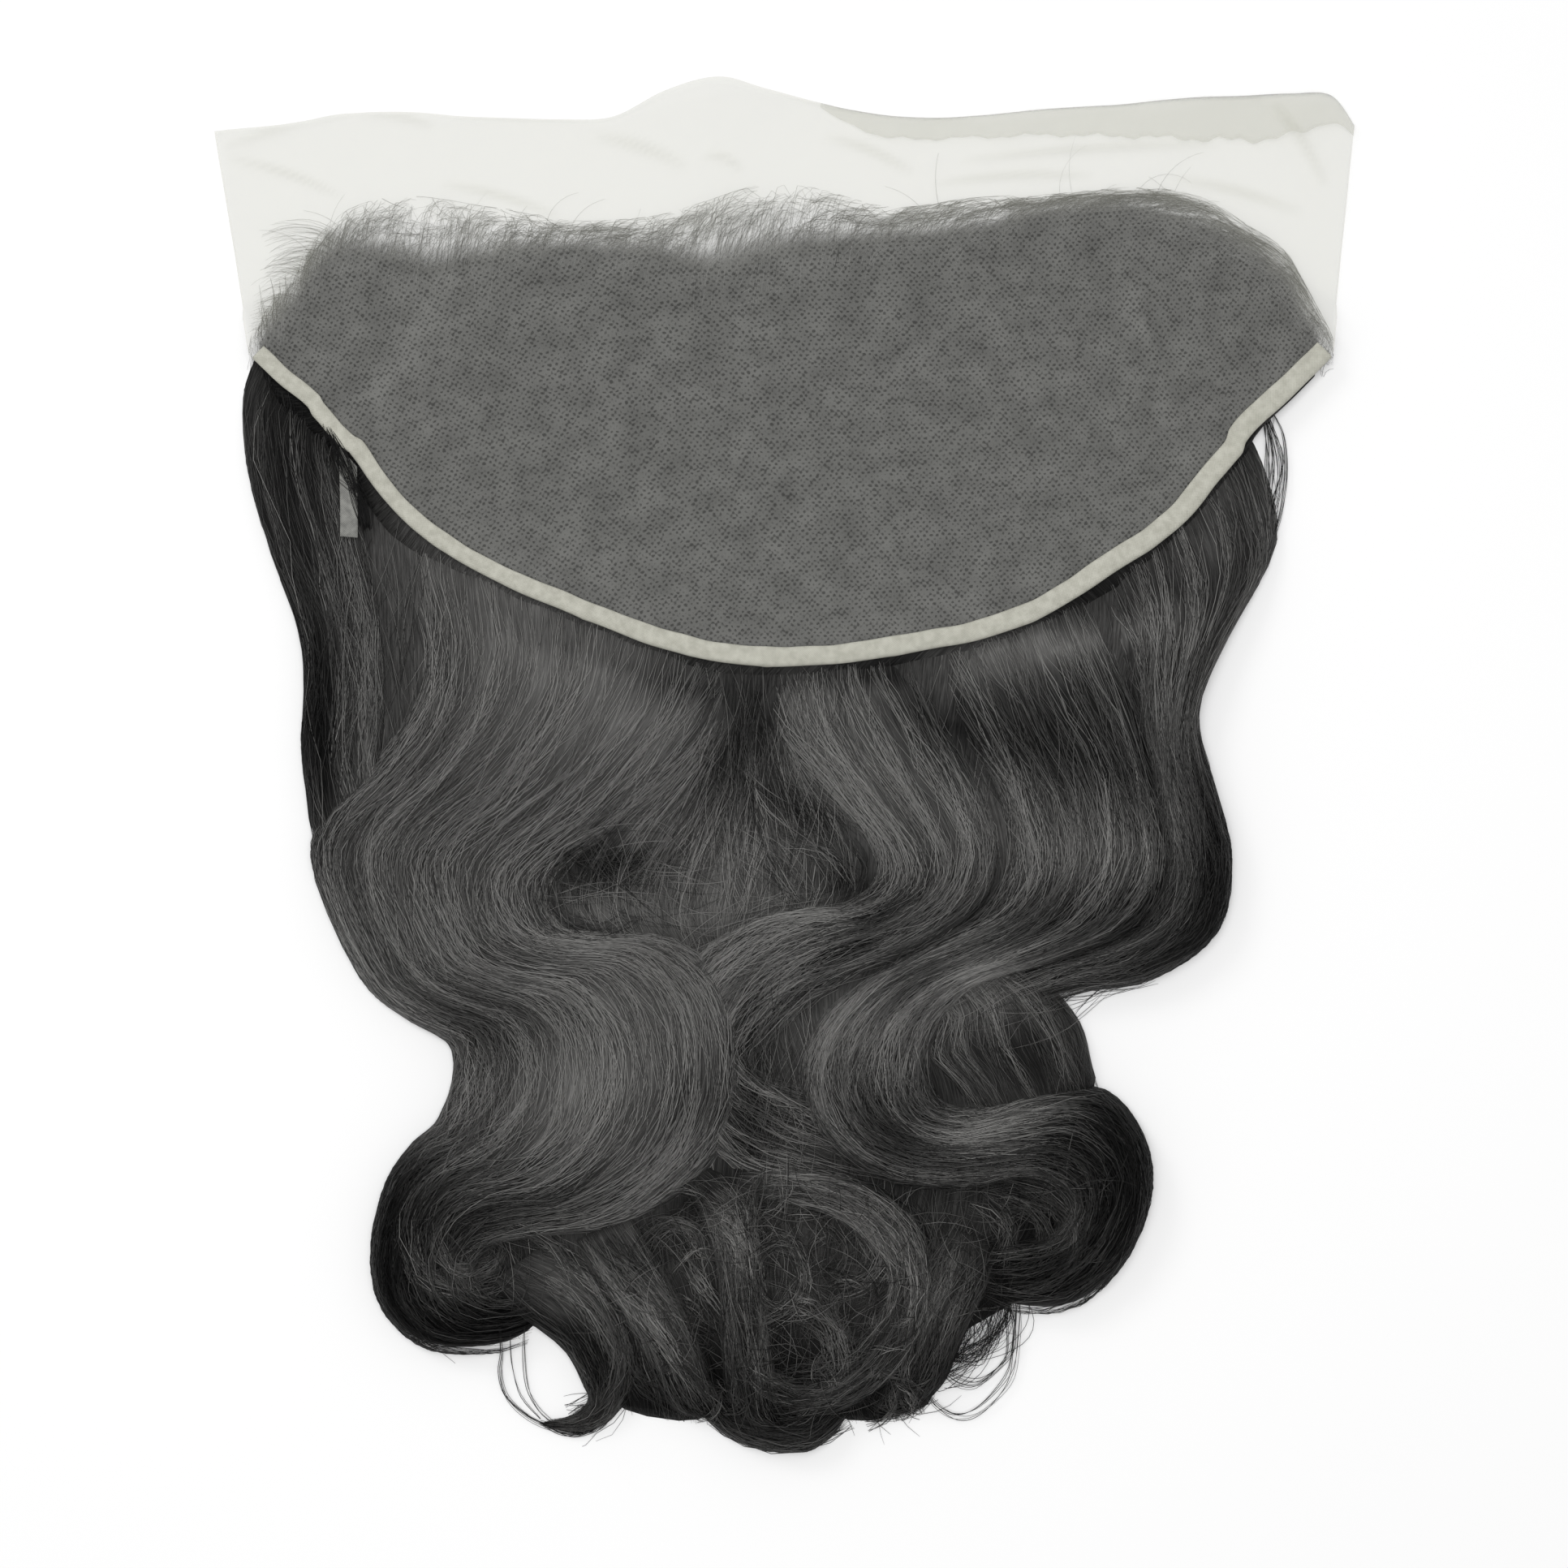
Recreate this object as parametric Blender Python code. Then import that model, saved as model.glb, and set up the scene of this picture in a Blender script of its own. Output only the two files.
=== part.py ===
"""Lace frontal hairpiece, laid flat with the skin side of its lace up.

A sheet of net has hair tied into it from below. The hair is combed back under the
net, fills the space between net and surface, and leaves it past the curved back edge
in waved tresses. A woven tape is folded over that edge. The front of the net is bare
and ripples, and its right half is turned over on itself.

Lengths in the tables and constants are millimetres. X runs from ear to ear, Y from
the tips of the hair to the front edge, and the surface it lies on is Z = 0.
"""

import math

import bmesh
import bpy
from mathutils import Vector

MM = 0.001

# Middle of the whole outline as the tables give it, which becomes the origin.
CENTRE_X = -0.3
CENTRE_Y = 1.05

# Clearance between pieces that touch on the real object.
GAP = 0.3

# Net. Its back edge is highest in the middle, where most hair lies under it, and its
# front edge rests on the surface.
LACE_WALL = 1.0
LACE_REST = 0.3
LACE_EDGE_MIDDLE = 9.4
LACE_EDGE_SIDE = 6.2
LACE_FLAT_BACK = 8.0
HAIRED_ROWS = 5
BARE_ROWS = 5

# Strip of net turned over on itself along the front right.
FOLD_CLEAR = 0.4
FOLD_BEND = 1.2

# Tape folded over the back edge, in the shape of a U lying on its side.
TAPE_WALL = 1.0
TAPE_WIDTH = 6.0
TAPE_UNDER = 4.5
TAPE_CLEAR = 0.5

# Loose end of the tape.
TAIL_THICK = 0.8

# Bed of tied hair under the net: its thickness at the hairline, how far it stays below
# the net, and how far it goes on past the back edge.
BED_FRONT = 0.8
BED_SLACK = 0.2
BED_OUTSIDE = 8.0

# Tresses: how deep they start below the surface before they are cut level with it, the
# depth of the furrow between two locks as a share of the height, and what they widen by.
FLOOR_CUT = 1.0
GROOVE = 0.24
SPREAD = 0.7
POINTS_PER_LOCK = 3

# Rows made between two rows of a table.
SECTION_STEPS = 2

# Sections of the net from left to right. Each has the outer edge of the binding, the
# front edge, and the share of the way to the front at which the tied hair ends.
LACE_SECTIONS = (
    # back_x, back_y, front_x, front_y, hairline
    (-165.0, 125.5, -176.4, 197.0, 0.24),
    (-156.5, 117.5, -162.0, 198.5, 0.38),
    (-147.0, 110.0, -149.0, 200.0, 0.48),
    (-135.0, 98.0, -136.0, 202.5, 0.60),
    (-123.0, 82.0, -118.0, 203.0, 0.65),
    (-110.0, 70.0, -101.0, 201.8, 0.66),
    (-95.0, 61.0, -87.0, 201.5, 0.68),
    (-80.0, 53.5, -71.0, 201.0, 0.69),
    (-60.0, 45.2, -54.0, 201.5, 0.70),
    (-40.0, 37.8, -37.5, 209.3, 0.68),
    (-20.0, 32.8, -20.8, 213.5, 0.66),
    (-3.0, 31.4, -5.0, 209.8, 0.69),
    (20.5, 33.0, 21.0, 203.8, 0.74),
    (40.5, 36.0, 38.0, 201.6, 0.77),
    (60.5, 40.0, 60.0, 202.0, 0.77),
    (80.5, 47.6, 83.0, 204.2, 0.78),
    (100.0, 59.5, 106.0, 205.6, 0.77),
    (120.5, 74.0, 128.0, 207.6, 0.72),
    (134.0, 89.5, 143.0, 208.2, 0.64),
    (145.0, 103.5, 156.0, 208.5, 0.50),
    (157.0, 115.0, 168.5, 208.0, 0.38),
    (168.5, 126.5, 175.8, 199.0, 0.24),
)

# Ripples of the bare front, each highest at the front edge.
RIPPLES = (
    # x, half_width, height
    (-172.0, 12.0, 2.6),
    (-140.0, 17.0, 1.8),
    (-108.0, 13.0, 2.4),
    (-64.0, 15.0, 1.2),
    (-22.0, 24.0, 4.8),
    (34.0, 12.0, 1.0),
    (72.0, 18.0, 2.2),
    (118.0, 20.0, 2.8),
    (160.0, 14.0, 3.6),
)

# How far the turned over strip reaches back from the front edge.
FOLD_DEPTHS = (
    # x, depth
    (14.0, 3.0),
    (30.0, 7.0),
    (55.0, 6.5),
    (80.0, 8.0),
    (105.0, 10.0),
    (131.0, 13.5),
    (150.0, 14.0),
    (163.0, 12.0),
    (172.0, 6.0),
)

# Loose tape end, from the binding down over the hair. Its first edge follows the binding.
TAIL_SECTIONS = (
    # left_x, left_y, right_x, right_y, underside
    (-137.2, 99.3, -131.8, 93.0, 6.9),
    (-137.2, 91.0, -131.8, 87.0, 6.9),
    (-137.0, 81.0, -131.6, 80.0, 6.9),
    (-137.0, 71.6, -131.6, 71.2, 7.0),
)

# Tresses. Each section crosses the flow of the hair from one side, a, to the other, b.
TRESSES = (
    {
        "name": "under_layer",
        "locks": 5,
        "sections": (
            # a_x, a_y, b_x, b_y, top
            (-138.0, 96.0, 130.0, 90.0, 3.0),
            (-134.0, 56.0, 130.0, 46.0, 6.0),
            (-132.0, 0.0, 122.0, 2.0, 6.5),
            (-136.0, -38.0, 128.0, -34.0, 6.5),
            (-110.0, -74.0, 84.0, -66.0, 6.5),
            (-100.0, -98.0, 90.0, -96.0, 6.5),
            (-110.0, -130.0, 98.0, -120.0, 6.5),
            (-104.0, -158.0, 88.0, -150.0, 6.5),
            (-66.0, -180.0, 58.0, -176.0, 6.5),
            (-52.0, -197.5, 42.0, -196.0, 5.5),
        ),
    },
    {
        "name": "left_side",
        "locks": 3,
        "sections": (
            # a_x, a_y, b_x, b_y, top
            (-160.0, 127.0, -133.0, 108.0, 2.2),
            (-167.0, 113.0, -135.0, 94.0, 4.2),
            (-166.5, 92.0, -131.0, 78.0, 6.2),
            (-159.0, 66.0, -128.0, 62.0, 6.6),
            (-151.0, 44.0, -125.0, 44.0, 7.5),
            (-149.0, 26.0, -123.5, 24.0, 8.5),
            (-151.0, 8.0, -124.0, 2.0, 9.0),
            (-146.5, -19.0, -122.0, -22.0, 8.0),
        ),
    },
    {
        "name": "centre_pocket",
        "locks": 4,
        "sections": (
            # a_x, a_y, b_x, b_y, top
            (-20.0, 24.0, 0.0, 24.0, 5.0),
            (-36.0, 0.0, 8.0, 2.0, 8.0),
            (-56.0, -16.0, 22.0, -18.0, 9.0),
            (-70.0, -32.0, 26.0, -32.0, 10.0),
            (-70.0, -46.0, 22.0, -46.0, 9.0),
            (-52.0, -60.0, 8.0, -60.0, 8.0),
        ),
    },
    {
        "name": "left_sweep",
        "locks": 6,
        "sections": (
            # a_x, a_y, b_x, b_y, top
            (-120.0, 88.0, -6.0, 44.0, 4.5),
            (-118.0, 63.0, -11.0, 28.0, 7.0),
            (-113.0, 42.0, -19.0, 13.0, 11.0),
            (-115.0, 22.0, -34.0, -4.0, 13.0),
            (-127.0, 3.0, -49.0, -18.0, 14.5),
            (-142.0, -12.0, -61.0, -26.0, 15.5),
            (-147.0, -26.0, -69.0, -33.0, 16.0),
            (-141.0, -46.0, -71.0, -41.0, 16.0),
            (-130.0, -67.0, -66.0, -48.0, 16.0),
            (-117.0, -77.5, -52.0, -50.0, 16.5),
            (-105.0, -84.0, -34.0, -51.0, 17.0),
            (-103.0, -89.5, -18.0, -64.0, 17.0),
            (-103.0, -94.5, -11.5, -84.0, 17.0),
            (-104.0, -99.5, -12.5, -105.0, 17.0),
            (-106.0, -104.5, -25.0, -126.0, 17.0),
            (-109.0, -110.0, -49.0, -141.0, 16.0),
            (-116.0, -116.0, -75.0, -144.5, 15.0),
            (-124.0, -128.0, -88.0, -147.0, 14.0),
            (-128.5, -148.0, -94.0, -152.5, 13.5),
            (-125.5, -166.0, -93.0, -158.0, 13.0),
            (-112.0, -179.0, -86.0, -161.5, 12.0),
            (-92.0, -181.0, -79.0, -161.0, 10.0),
            (-80.0, -178.0, -72.0, -158.0, 8.0),
        ),
    },
    {
        "name": "left_curl",
        "locks": 2,
        "sections": (
            # a_x, a_y, b_x, b_y, top
            (-94.0, -160.0, -74.0, -146.0, 11.0),
            (-78.0, -172.0, -60.0, -152.0, 11.0),
            (-68.0, -180.0, -52.0, -166.0, 10.0),
            (-63.0, -190.0, -47.0, -184.0, 8.0),
            (-60.5, -196.0, -52.0, -199.0, 6.0),
            (-68.0, -201.0, -64.0, -205.5, 4.0),
        ),
    },
    {
        "name": "right_under",
        "locks": 3,
        "sections": (
            # a_x, a_y, b_x, b_y, top
            (46.0, -56.0, 84.0, -64.0, 9.0),
            (40.0, -72.0, 89.5, -77.0, 10.0),
            (38.0, -88.0, 94.5, -90.0, 10.0),
            (42.0, -102.0, 97.0, -101.0, 9.5),
            (52.0, -114.0, 98.0, -110.0, 8.0),
        ),
    },
    {
        "name": "right_side",
        "locks": 3,
        "sections": (
            # a_x, a_y, b_x, b_y, top
            (90.0, 70.0, 138.0, 112.0, 4.0),
            (97.0, 50.0, 155.0, 97.0, 5.6),
            (102.0, 33.0, 153.0, 70.0, 9.0),
            (107.0, 15.0, 137.0, 41.0, 11.0),
            (112.0, -3.0, 127.5, 18.0, 12.0),
            (115.0, -18.0, 132.5, -4.0, 12.5),
            (116.0, -32.0, 138.0, -26.0, 13.0),
            (110.0, -46.0, 134.0, -50.0, 13.0),
            (96.0, -54.0, 114.0, -65.0, 12.5),
            (78.0, -59.0, 92.0, -69.0, 12.0),
            (60.0, -66.0, 76.0, -74.0, 10.0),
        ),
    },
    {
        "name": "right_inner",
        "locks": 3,
        "sections": (
            # a_x, a_y, b_x, b_y, top
            (-4.0, 44.0, 40.0, 48.0, 4.5),
            (-8.0, 27.0, 44.0, 29.0, 7.0),
            (-3.0, 9.0, 54.0, 9.0, 11.0),
            (11.0, -8.0, 63.0, -9.0, 13.0),
            (24.0, -22.0, 67.0, -27.0, 14.0),
            (27.0, -33.0, 61.0, -42.0, 14.0),
            (17.0, -41.0, 43.0, -55.0, 13.0),
            (0.0, -41.0, 24.0, -64.0, 12.0),
            (-17.0, -47.0, 6.0, -76.0, 11.0),
            (-30.0, -58.0, -6.0, -88.0, 10.0),
            (-38.0, -80.0, -8.0, -92.0, 10.0),
            (-34.0, -104.0, -2.0, -95.0, 10.0),
            (-18.0, -124.0, 12.0, -98.0, 10.0),
            (6.0, -131.0, 28.0, -106.0, 9.5),
            (30.0, -134.0, 42.0, -116.0, 8.0),
        ),
    },
    {
        "name": "right_middle",
        "locks": 4,
        "sections": (
            # a_x, a_y, b_x, b_y, top
            (36.0, 48.0, 92.0, 68.0, 4.5),
            (43.0, 29.0, 99.0, 48.0, 7.0),
            (54.0, 9.0, 108.0, 22.0, 11.0),
            (64.0, -9.0, 117.0, -4.0, 13.0),
            (67.0, -28.0, 120.0, -28.0, 14.0),
            (59.0, -43.0, 110.0, -48.0, 14.5),
            (42.0, -54.0, 86.0, -59.0, 15.0),
            (24.0, -64.0, 62.0, -66.0, 15.0),
            (9.0, -78.0, 49.0, -77.0, 15.0),
            (3.0, -95.0, 45.0, -91.0, 15.0),
            (9.0, -113.0, 49.0, -102.0, 15.0),
            (28.0, -127.0, 62.0, -104.0, 15.5),
            (52.0, -130.5, 80.0, -99.0, 16.0),
            (70.0, -127.0, 99.0, -99.0, 16.0),
            (81.0, -130.0, 111.0, -113.0, 16.0),
            (84.0, -137.0, 113.5, -131.0, 15.0),
            (79.0, -144.0, 106.0, -151.0, 14.0),
            (69.0, -147.0, 92.0, -164.0, 12.0),
            (62.0, -149.0, 76.0, -167.0, 10.0),
        ),
    },
    {
        "name": "bottom_bowl",
        "locks": 2,
        "sections": (
            # a_x, a_y, b_x, b_y, top
            (-26.0, -200.0, -20.0, -190.0, 7.0),
            (-18.0, -206.5, -12.0, -196.0, 9.0),
            (-6.0, -210.5, -3.0, -199.0, 9.5),
            (6.0, -211.0, 6.0, -198.0, 9.5),
            (13.0, -207.5, 12.0, -194.0, 9.0),
            (20.5, -201.0, 18.0, -188.0, 7.0),
        ),
    },
    {
        "name": "bottom_right",
        "locks": 2,
        "sections": (
            # a_x, a_y, b_x, b_y, top
            (46.0, -140.0, 66.0, -146.0, 9.0),
            (42.0, -154.0, 68.0, -160.0, 12.0),
            (36.0, -170.0, 63.0, -175.0, 12.0),
            (30.0, -186.0, 53.0, -188.0, 10.0),
            (24.0, -199.0, 43.0, -196.5, 7.0),
        ),
    },
    {
        "name": "bottom_left",
        "locks": 3,
        "sections": (
            # a_x, a_y, b_x, b_y, top
            (-66.0, -146.0, -46.0, -136.0, 9.0),
            (-58.0, -158.0, -38.0, -150.0, 12.0),
            (-49.0, -172.0, -30.0, -164.0, 13.0),
            (-42.0, -186.0, -24.0, -178.0, 12.0),
            (-36.0, -197.0, -20.0, -192.0, 9.0),
            (-26.0, -202.0, -17.0, -198.0, 5.0),
        ),
    },
    {
        "name": "centre_left",
        "locks": 2,
        "sections": (
            # a_x, a_y, b_x, b_y, top
            (-34.0, -128.0, -22.0, -122.0, 8.0),
            (-27.0, -139.0, -9.0, -132.0, 12.0),
            (-22.0, -152.0, -5.0, -150.0, 13.0),
            (-21.0, -168.0, -4.0, -168.0, 12.0),
            (-20.0, -184.0, -3.0, -184.0, 11.0),
            (-17.0, -200.0, 2.0, -198.0, 10.0),
            (-8.0, -211.0, 10.0, -205.0, 6.0),
        ),
    },
    {
        "name": "centre_ring",
        "locks": 3,
        "sections": (
            # a_x, a_y, b_x, b_y, top
            (-16.0, -122.0, -14.0, -132.0, 9.0),
            (2.0, -122.0, 0.0, -134.0, 12.0),
            (22.0, -125.0, 14.0, -138.0, 14.0),
            (38.0, -134.0, 24.0, -146.0, 14.0),
            (46.0, -150.0, 30.0, -155.0, 14.0),
            (46.0, -168.0, 29.0, -166.0, 13.5),
            (37.0, -185.0, 22.0, -175.0, 13.0),
            (21.0, -197.0, 12.0, -181.0, 12.0),
            (3.0, -202.0, 2.0, -184.0, 11.0),
            (-12.0, -200.0, -6.0, -184.0, 9.0),
        ),
    },
)


def clear_scene():
    for obj in list(bpy.data.objects):
        bpy.data.objects.remove(obj, do_unlink=True)


def principled(name, colour, roughness, metallic=0.0):
    material = bpy.data.materials.new(name)
    material.use_nodes = True
    shader = material.node_tree.nodes["Principled BSDF"]
    shader.inputs["Base Color"].default_value = (*colour, 1.0)
    shader.inputs["Roughness"].default_value = roughness
    shader.inputs["Metallic"].default_value = metallic
    return material


def through(before, here, after, beyond, share):
    """Value at a share of the way from here to after, on a curve through all four."""
    bend = 2 * before - 5 * here + 4 * after - beyond
    twist = 3 * (here - after) + beyond - before
    return here + 0.5 * share * ((after - before) + share * (bend + share * twist))


def smooth_rows(rows, steps):
    """The rows of a table with rows between them, on smooth curves through them all."""
    last = len(rows) - 1
    result = []
    for i in range(last):
        four = (rows[max(i - 1, 0)], rows[i], rows[i + 1], rows[min(i + 2, last)])
        for k in range(steps):
            result.append([through(*values, k / steps) for values in zip(*four)])
    result.append(list(rows[last]))
    return result


def interpolated(table, x):
    """Second column of a table at a value of its first."""
    for (x0, y0), (x1, y1) in zip(table, table[1:]):
        if x <= x1:
            share = (x - x0) / (x1 - x0)
            return y0 + (y1 - y0) * min(max(share, 0.0), 1.0)
    return table[-1][1]


def eased(share):
    share = min(max(share, 0.0), 1.0)
    return share * share * (3.0 - 2.0 * share)


def lofted(name, loops, material=None):
    """A closed solid through loops of points, with a flat cap on each end."""
    mesh_of = bmesh.new()
    rings = []
    for loop in loops:
        ring = [
            mesh_of.verts.new(((x - CENTRE_X) * MM, (y - CENTRE_Y) * MM, z * MM))
            for x, y, z in loop
        ]
        rings.append(ring)
    for one, two in zip(rings, rings[1:]):
        for k in range(len(one)):
            after = (k + 1) % len(one)
            mesh_of.faces.new((one[k], one[after], two[after], two[k]))
    mesh_of.faces.new(rings[0])
    mesh_of.faces.new(rings[-1])
    bmesh.ops.recalc_face_normals(mesh_of, faces=mesh_of.faces)
    mesh = bpy.data.meshes.new(name)
    mesh_of.to_mesh(mesh)
    mesh_of.free()
    mesh.shade_smooth()
    mesh.set_sharp_from_angle(angle=math.radians(50.0))
    obj = bpy.data.objects.new(name, mesh)
    bpy.context.scene.collection.objects.link(obj)
    if material:
        mesh.materials.append(material)
    return obj


def as_helper(obj):
    obj.hide_render = True
    obj.display_type = "WIRE"
    return obj


def add_boolean(obj, operation, other=None, collection=None, solver="EXACT"):
    modifier = obj.modifiers.new(operation.lower(), "BOOLEAN")
    modifier.operation = operation
    modifier.solver = solver
    if collection:
        modifier.operand_type = "COLLECTION"
        modifier.collection = collection
    else:
        modifier.object = other
    return modifier


class LaceColumn:
    """A strip of the net from its back edge to its front edge, seen from above."""

    def __init__(self, row, inward, share):
        back_x, back_y, front_x, front_y, hairline = row
        self.back = Vector((back_x, back_y))
        self.front = Vector((front_x, front_y))
        self.length = (self.front - self.back).length
        self.inward = inward
        lean = inward.dot(self.front - self.back) / self.length
        self.edge = (TAPE_WALL + GAP) / lean
        self.flat = LACE_FLAT_BACK / lean
        self.hair_end = hairline * self.length
        side = abs(2.0 * share - 1.0)
        drop = (LACE_EDGE_MIDDLE - LACE_EDGE_SIDE) * side ** 2
        self.edge_height = LACE_EDGE_MIDDLE - drop

    def at(self, distance):
        """Point this far from the outer edge of the binding, towards the front."""
        return self.back.lerp(self.front, distance / self.length)

    def underside(self, distance):
        """Height of the net's lower face at this distance from its back edge."""
        sloping = self.hair_end - self.flat
        share = min(max((distance - self.flat) / sloping, 0.0), 1.0)
        low = BED_FRONT + GAP
        over_hair = low + (self.edge_height - low) * (1.0 - share) ** 0.8
        bare = (distance - self.hair_end) / (self.length - self.hair_end)
        if bare <= 0.0:
            return over_hair
        x = self.at(distance).x
        lift = sum(
            height * math.exp(-(((x - middle) / half_width) ** 2))
            for middle, half_width, height in RIPPLES
        )
        settled = low + (LACE_REST - low) * eased(3.0 * bare)
        return settled + lift * bare ** 1.5


def lace_columns(steps):
    rows = smooth_rows(LACE_SECTIONS, steps)
    last = len(rows) - 1
    columns = []
    for i, row in enumerate(rows):
        ahead = rows[min(i + 1, last)]
        behind = rows[max(i - 1, 0)]
        inward = Vector((behind[1] - ahead[1], ahead[0] - behind[0])).normalized()
        columns.append(LaceColumn(row, inward, i / last))
    return columns


def lace_distances(column):
    """Where the net has its rows of points, from under the tape to the front edge."""
    bare = column.length - column.hair_end
    rows = [column.hair_end + bare * k / BARE_ROWS for k in range(1, BARE_ROWS + 1)]
    return [column.edge] + haired_distances(column) + rows


def haired_distances(column):
    sloping = column.hair_end - column.flat
    return [column.flat + sloping * k / HAIRED_ROWS for k in range(HAIRED_ROWS + 1)]


def make_lace_sheet(material):
    columns = lace_columns(SECTION_STEPS)
    loops = []
    for column in columns:
        distances = lace_distances(column)
        top = [(*column.at(d), column.underside(d) + LACE_WALL) for d in distances]
        bottom = [(*column.at(d), column.underside(d)) for d in reversed(distances)]
        loops.append(top + bottom)
    sheet = lofted("lace_sheet", loops, material)
    turned = as_helper(lofted("turned_strip", turned_strip_loops(columns)))
    add_boolean(sheet, "UNION", other=turned)
    return sheet


def turned_strip_loops(columns):
    """Sections of the strip that is turned over, which joins the net at its front."""
    first_x = FOLD_DEPTHS[0][0]
    last_x = FOLD_DEPTHS[-1][0]
    loops = []
    for column in columns:
        if not first_x <= column.front.x <= last_x:
            continue
        depth = interpolated(FOLD_DEPTHS, column.front.x)
        distances = (-0.05, depth / 2.0, depth)
        upper = []
        for back_from_front in distances:
            d = column.length - back_from_front
            z = column.underside(d) + LACE_WALL + FOLD_CLEAR
            upper.append((*column.at(d), z + LACE_WALL))
        lower = []
        for back_from_front in (depth, depth / 2.0, FOLD_BEND):
            d = column.length - back_from_front
            lower.append((*column.at(d), column.underside(d) + LACE_WALL + FOLD_CLEAR))
        inside = column.length - FOLD_BEND
        front = column.length + 0.05
        lower.append((*column.at(inside), column.underside(inside) + 0.2))
        lower.append((*column.at(front), column.underside(front) + 0.1))
        loops.append(upper + lower)
    return loops


def make_edge_binding(material):
    columns = lace_columns(SECTION_STEPS)
    half_lace = LACE_WALL / 2.0
    inner = half_lace + TAPE_CLEAR
    outer = inner + TAPE_WALL
    profile = (
        # inwards from the outer edge, height over the middle of the net
        (0.0, outer),
        (TAPE_WIDTH, outer),
        (TAPE_WIDTH, inner),
        (TAPE_WALL, inner),
        (TAPE_WALL, -inner),
        (TAPE_UNDER, -inner),
        (TAPE_UNDER, -outer),
        (0.0, -outer),
    )
    loops = []
    for column in columns:
        middle = column.edge_height + half_lace
        loops.append([
            (*(column.back + column.inward * d), middle + z) for d, z in profile
        ])
    return lofted("edge_binding", loops, material)


def make_tape_tail(material):
    loops = []
    for row in smooth_rows(TAIL_SECTIONS, SECTION_STEPS):
        left_x, left_y, right_x, right_y, z = row
        loops.append([
            (left_x, left_y, z),
            (right_x, right_y, z),
            (right_x, right_y, z + TAIL_THICK),
            (left_x, left_y, z + TAIL_THICK),
        ])
    return lofted("tape_tail", loops, material)


def bed_loops():
    """Sections of the tied hair under the net, which ends in a thin edge at the front."""
    loops = []
    for column in lace_columns(SECTION_STEPS)[1:-1]:
        edge_top = column.edge_height - TAPE_CLEAR - TAPE_WALL - GAP - BED_SLACK
        first, *others = haired_distances(column)
        top = [
            (*column.at(-BED_OUTSIDE), edge_top * 0.4),
            (*column.at(-BED_OUTSIDE / 3.0), edge_top * 0.85),
            (*column.at(first), edge_top),
        ]
        top += [(*column.at(d), column.underside(d) - GAP - BED_SLACK) for d in others]
        bottom = [
            (*column.at(column.hair_end), -FLOOR_CUT),
            (*column.at(-BED_OUTSIDE), -FLOOR_CUT),
        ]
        loops.append(top + bottom)
    return loops


def tress_loops(tress, below):
    """Sections of a tress: a low dome, furrowed where its locks part."""
    locks = tress["locks"]
    count = locks * POINTS_PER_LOCK
    loops = []
    for a_x, a_y, b_x, b_y, top in smooth_rows(tress["sections"], SECTION_STEPS):
        a = Vector((a_x, a_y))
        b = Vector((b_x, b_y))
        spread = (b - a).normalized() * SPREAD
        loop = []
        for k in range(count + 1):
            w = k / count
            dome = math.sqrt(max(1.0 - abs(2.0 * w - 1.0) ** 4, 0.0))
            furrow = GROOVE * 0.5 * (1.0 + math.cos(2.0 * math.pi * locks * w))
            z = -below + (top + below) * dome * (1.0 - furrow)
            loop.append((*(a - spread).lerp(b + spread, w), z))
        loops.append(loop)
    return loops


def make_hair(material):
    hair = lofted("hair", bed_loops(), material)
    group = bpy.data.collections.new("tresses")
    bpy.context.scene.collection.children.link(group)
    for i, tress in enumerate(TRESSES):
        below = FLOOR_CUT + 0.13 * (i + 1)
        solid = as_helper(lofted("tress_" + tress["name"], tress_loops(tress, below)))
        bpy.context.scene.collection.objects.unlink(solid)
        group.objects.link(solid)
    add_boolean(hair, "UNION", collection=group)
    side = 600.0
    deep = 20.0
    square = ((-side, -side), (side, -side), (side, side), (-side, side))
    floor = [[(x, y, -deep) for x, y in square], [(x, y, 0.0) for x, y in square]]
    below_floor = as_helper(lofted("below_floor", floor))
    add_boolean(hair, "DIFFERENCE", other=below_floor, solver="MANIFOLD")
    return hair


def build():
    clear_scene()
    hairpiece = bpy.data.objects.new("hairpiece", None)
    bpy.context.scene.collection.objects.link(hairpiece)
    net = principled("net", (0.60, 0.58, 0.50), 0.75)
    tape = principled("woven_tape", (0.62, 0.60, 0.53), 0.80)
    loose_tape = principled("loose_tape", (0.64, 0.62, 0.56), 0.80)
    black_hair = principled("black_hair", (0.012, 0.011, 0.010), 0.42)
    pieces = (
        make_lace_sheet(net),
        make_edge_binding(tape),
        make_tape_tail(loose_tape),
        make_hair(black_hair),
    )
    for piece in pieces:
        piece.parent = hairpiece


build()
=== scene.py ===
import math

import bpy
import numpy as np
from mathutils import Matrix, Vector
from mathutils.bvhtree import BVHTree


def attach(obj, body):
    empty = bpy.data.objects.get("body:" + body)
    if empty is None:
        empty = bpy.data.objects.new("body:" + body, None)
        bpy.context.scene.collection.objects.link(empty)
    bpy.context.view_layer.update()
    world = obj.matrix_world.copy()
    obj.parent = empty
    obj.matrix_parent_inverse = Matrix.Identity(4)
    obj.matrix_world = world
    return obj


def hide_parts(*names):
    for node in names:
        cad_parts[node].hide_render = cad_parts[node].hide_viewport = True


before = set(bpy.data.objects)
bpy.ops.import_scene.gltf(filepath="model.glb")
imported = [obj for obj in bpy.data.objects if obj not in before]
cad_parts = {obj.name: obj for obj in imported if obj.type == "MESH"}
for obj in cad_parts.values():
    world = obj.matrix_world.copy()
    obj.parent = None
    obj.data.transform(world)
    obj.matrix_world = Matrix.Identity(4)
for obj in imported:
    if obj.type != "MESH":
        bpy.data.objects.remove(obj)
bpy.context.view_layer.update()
bpy.ops.object.select_all(action="DESELECT")

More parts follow.
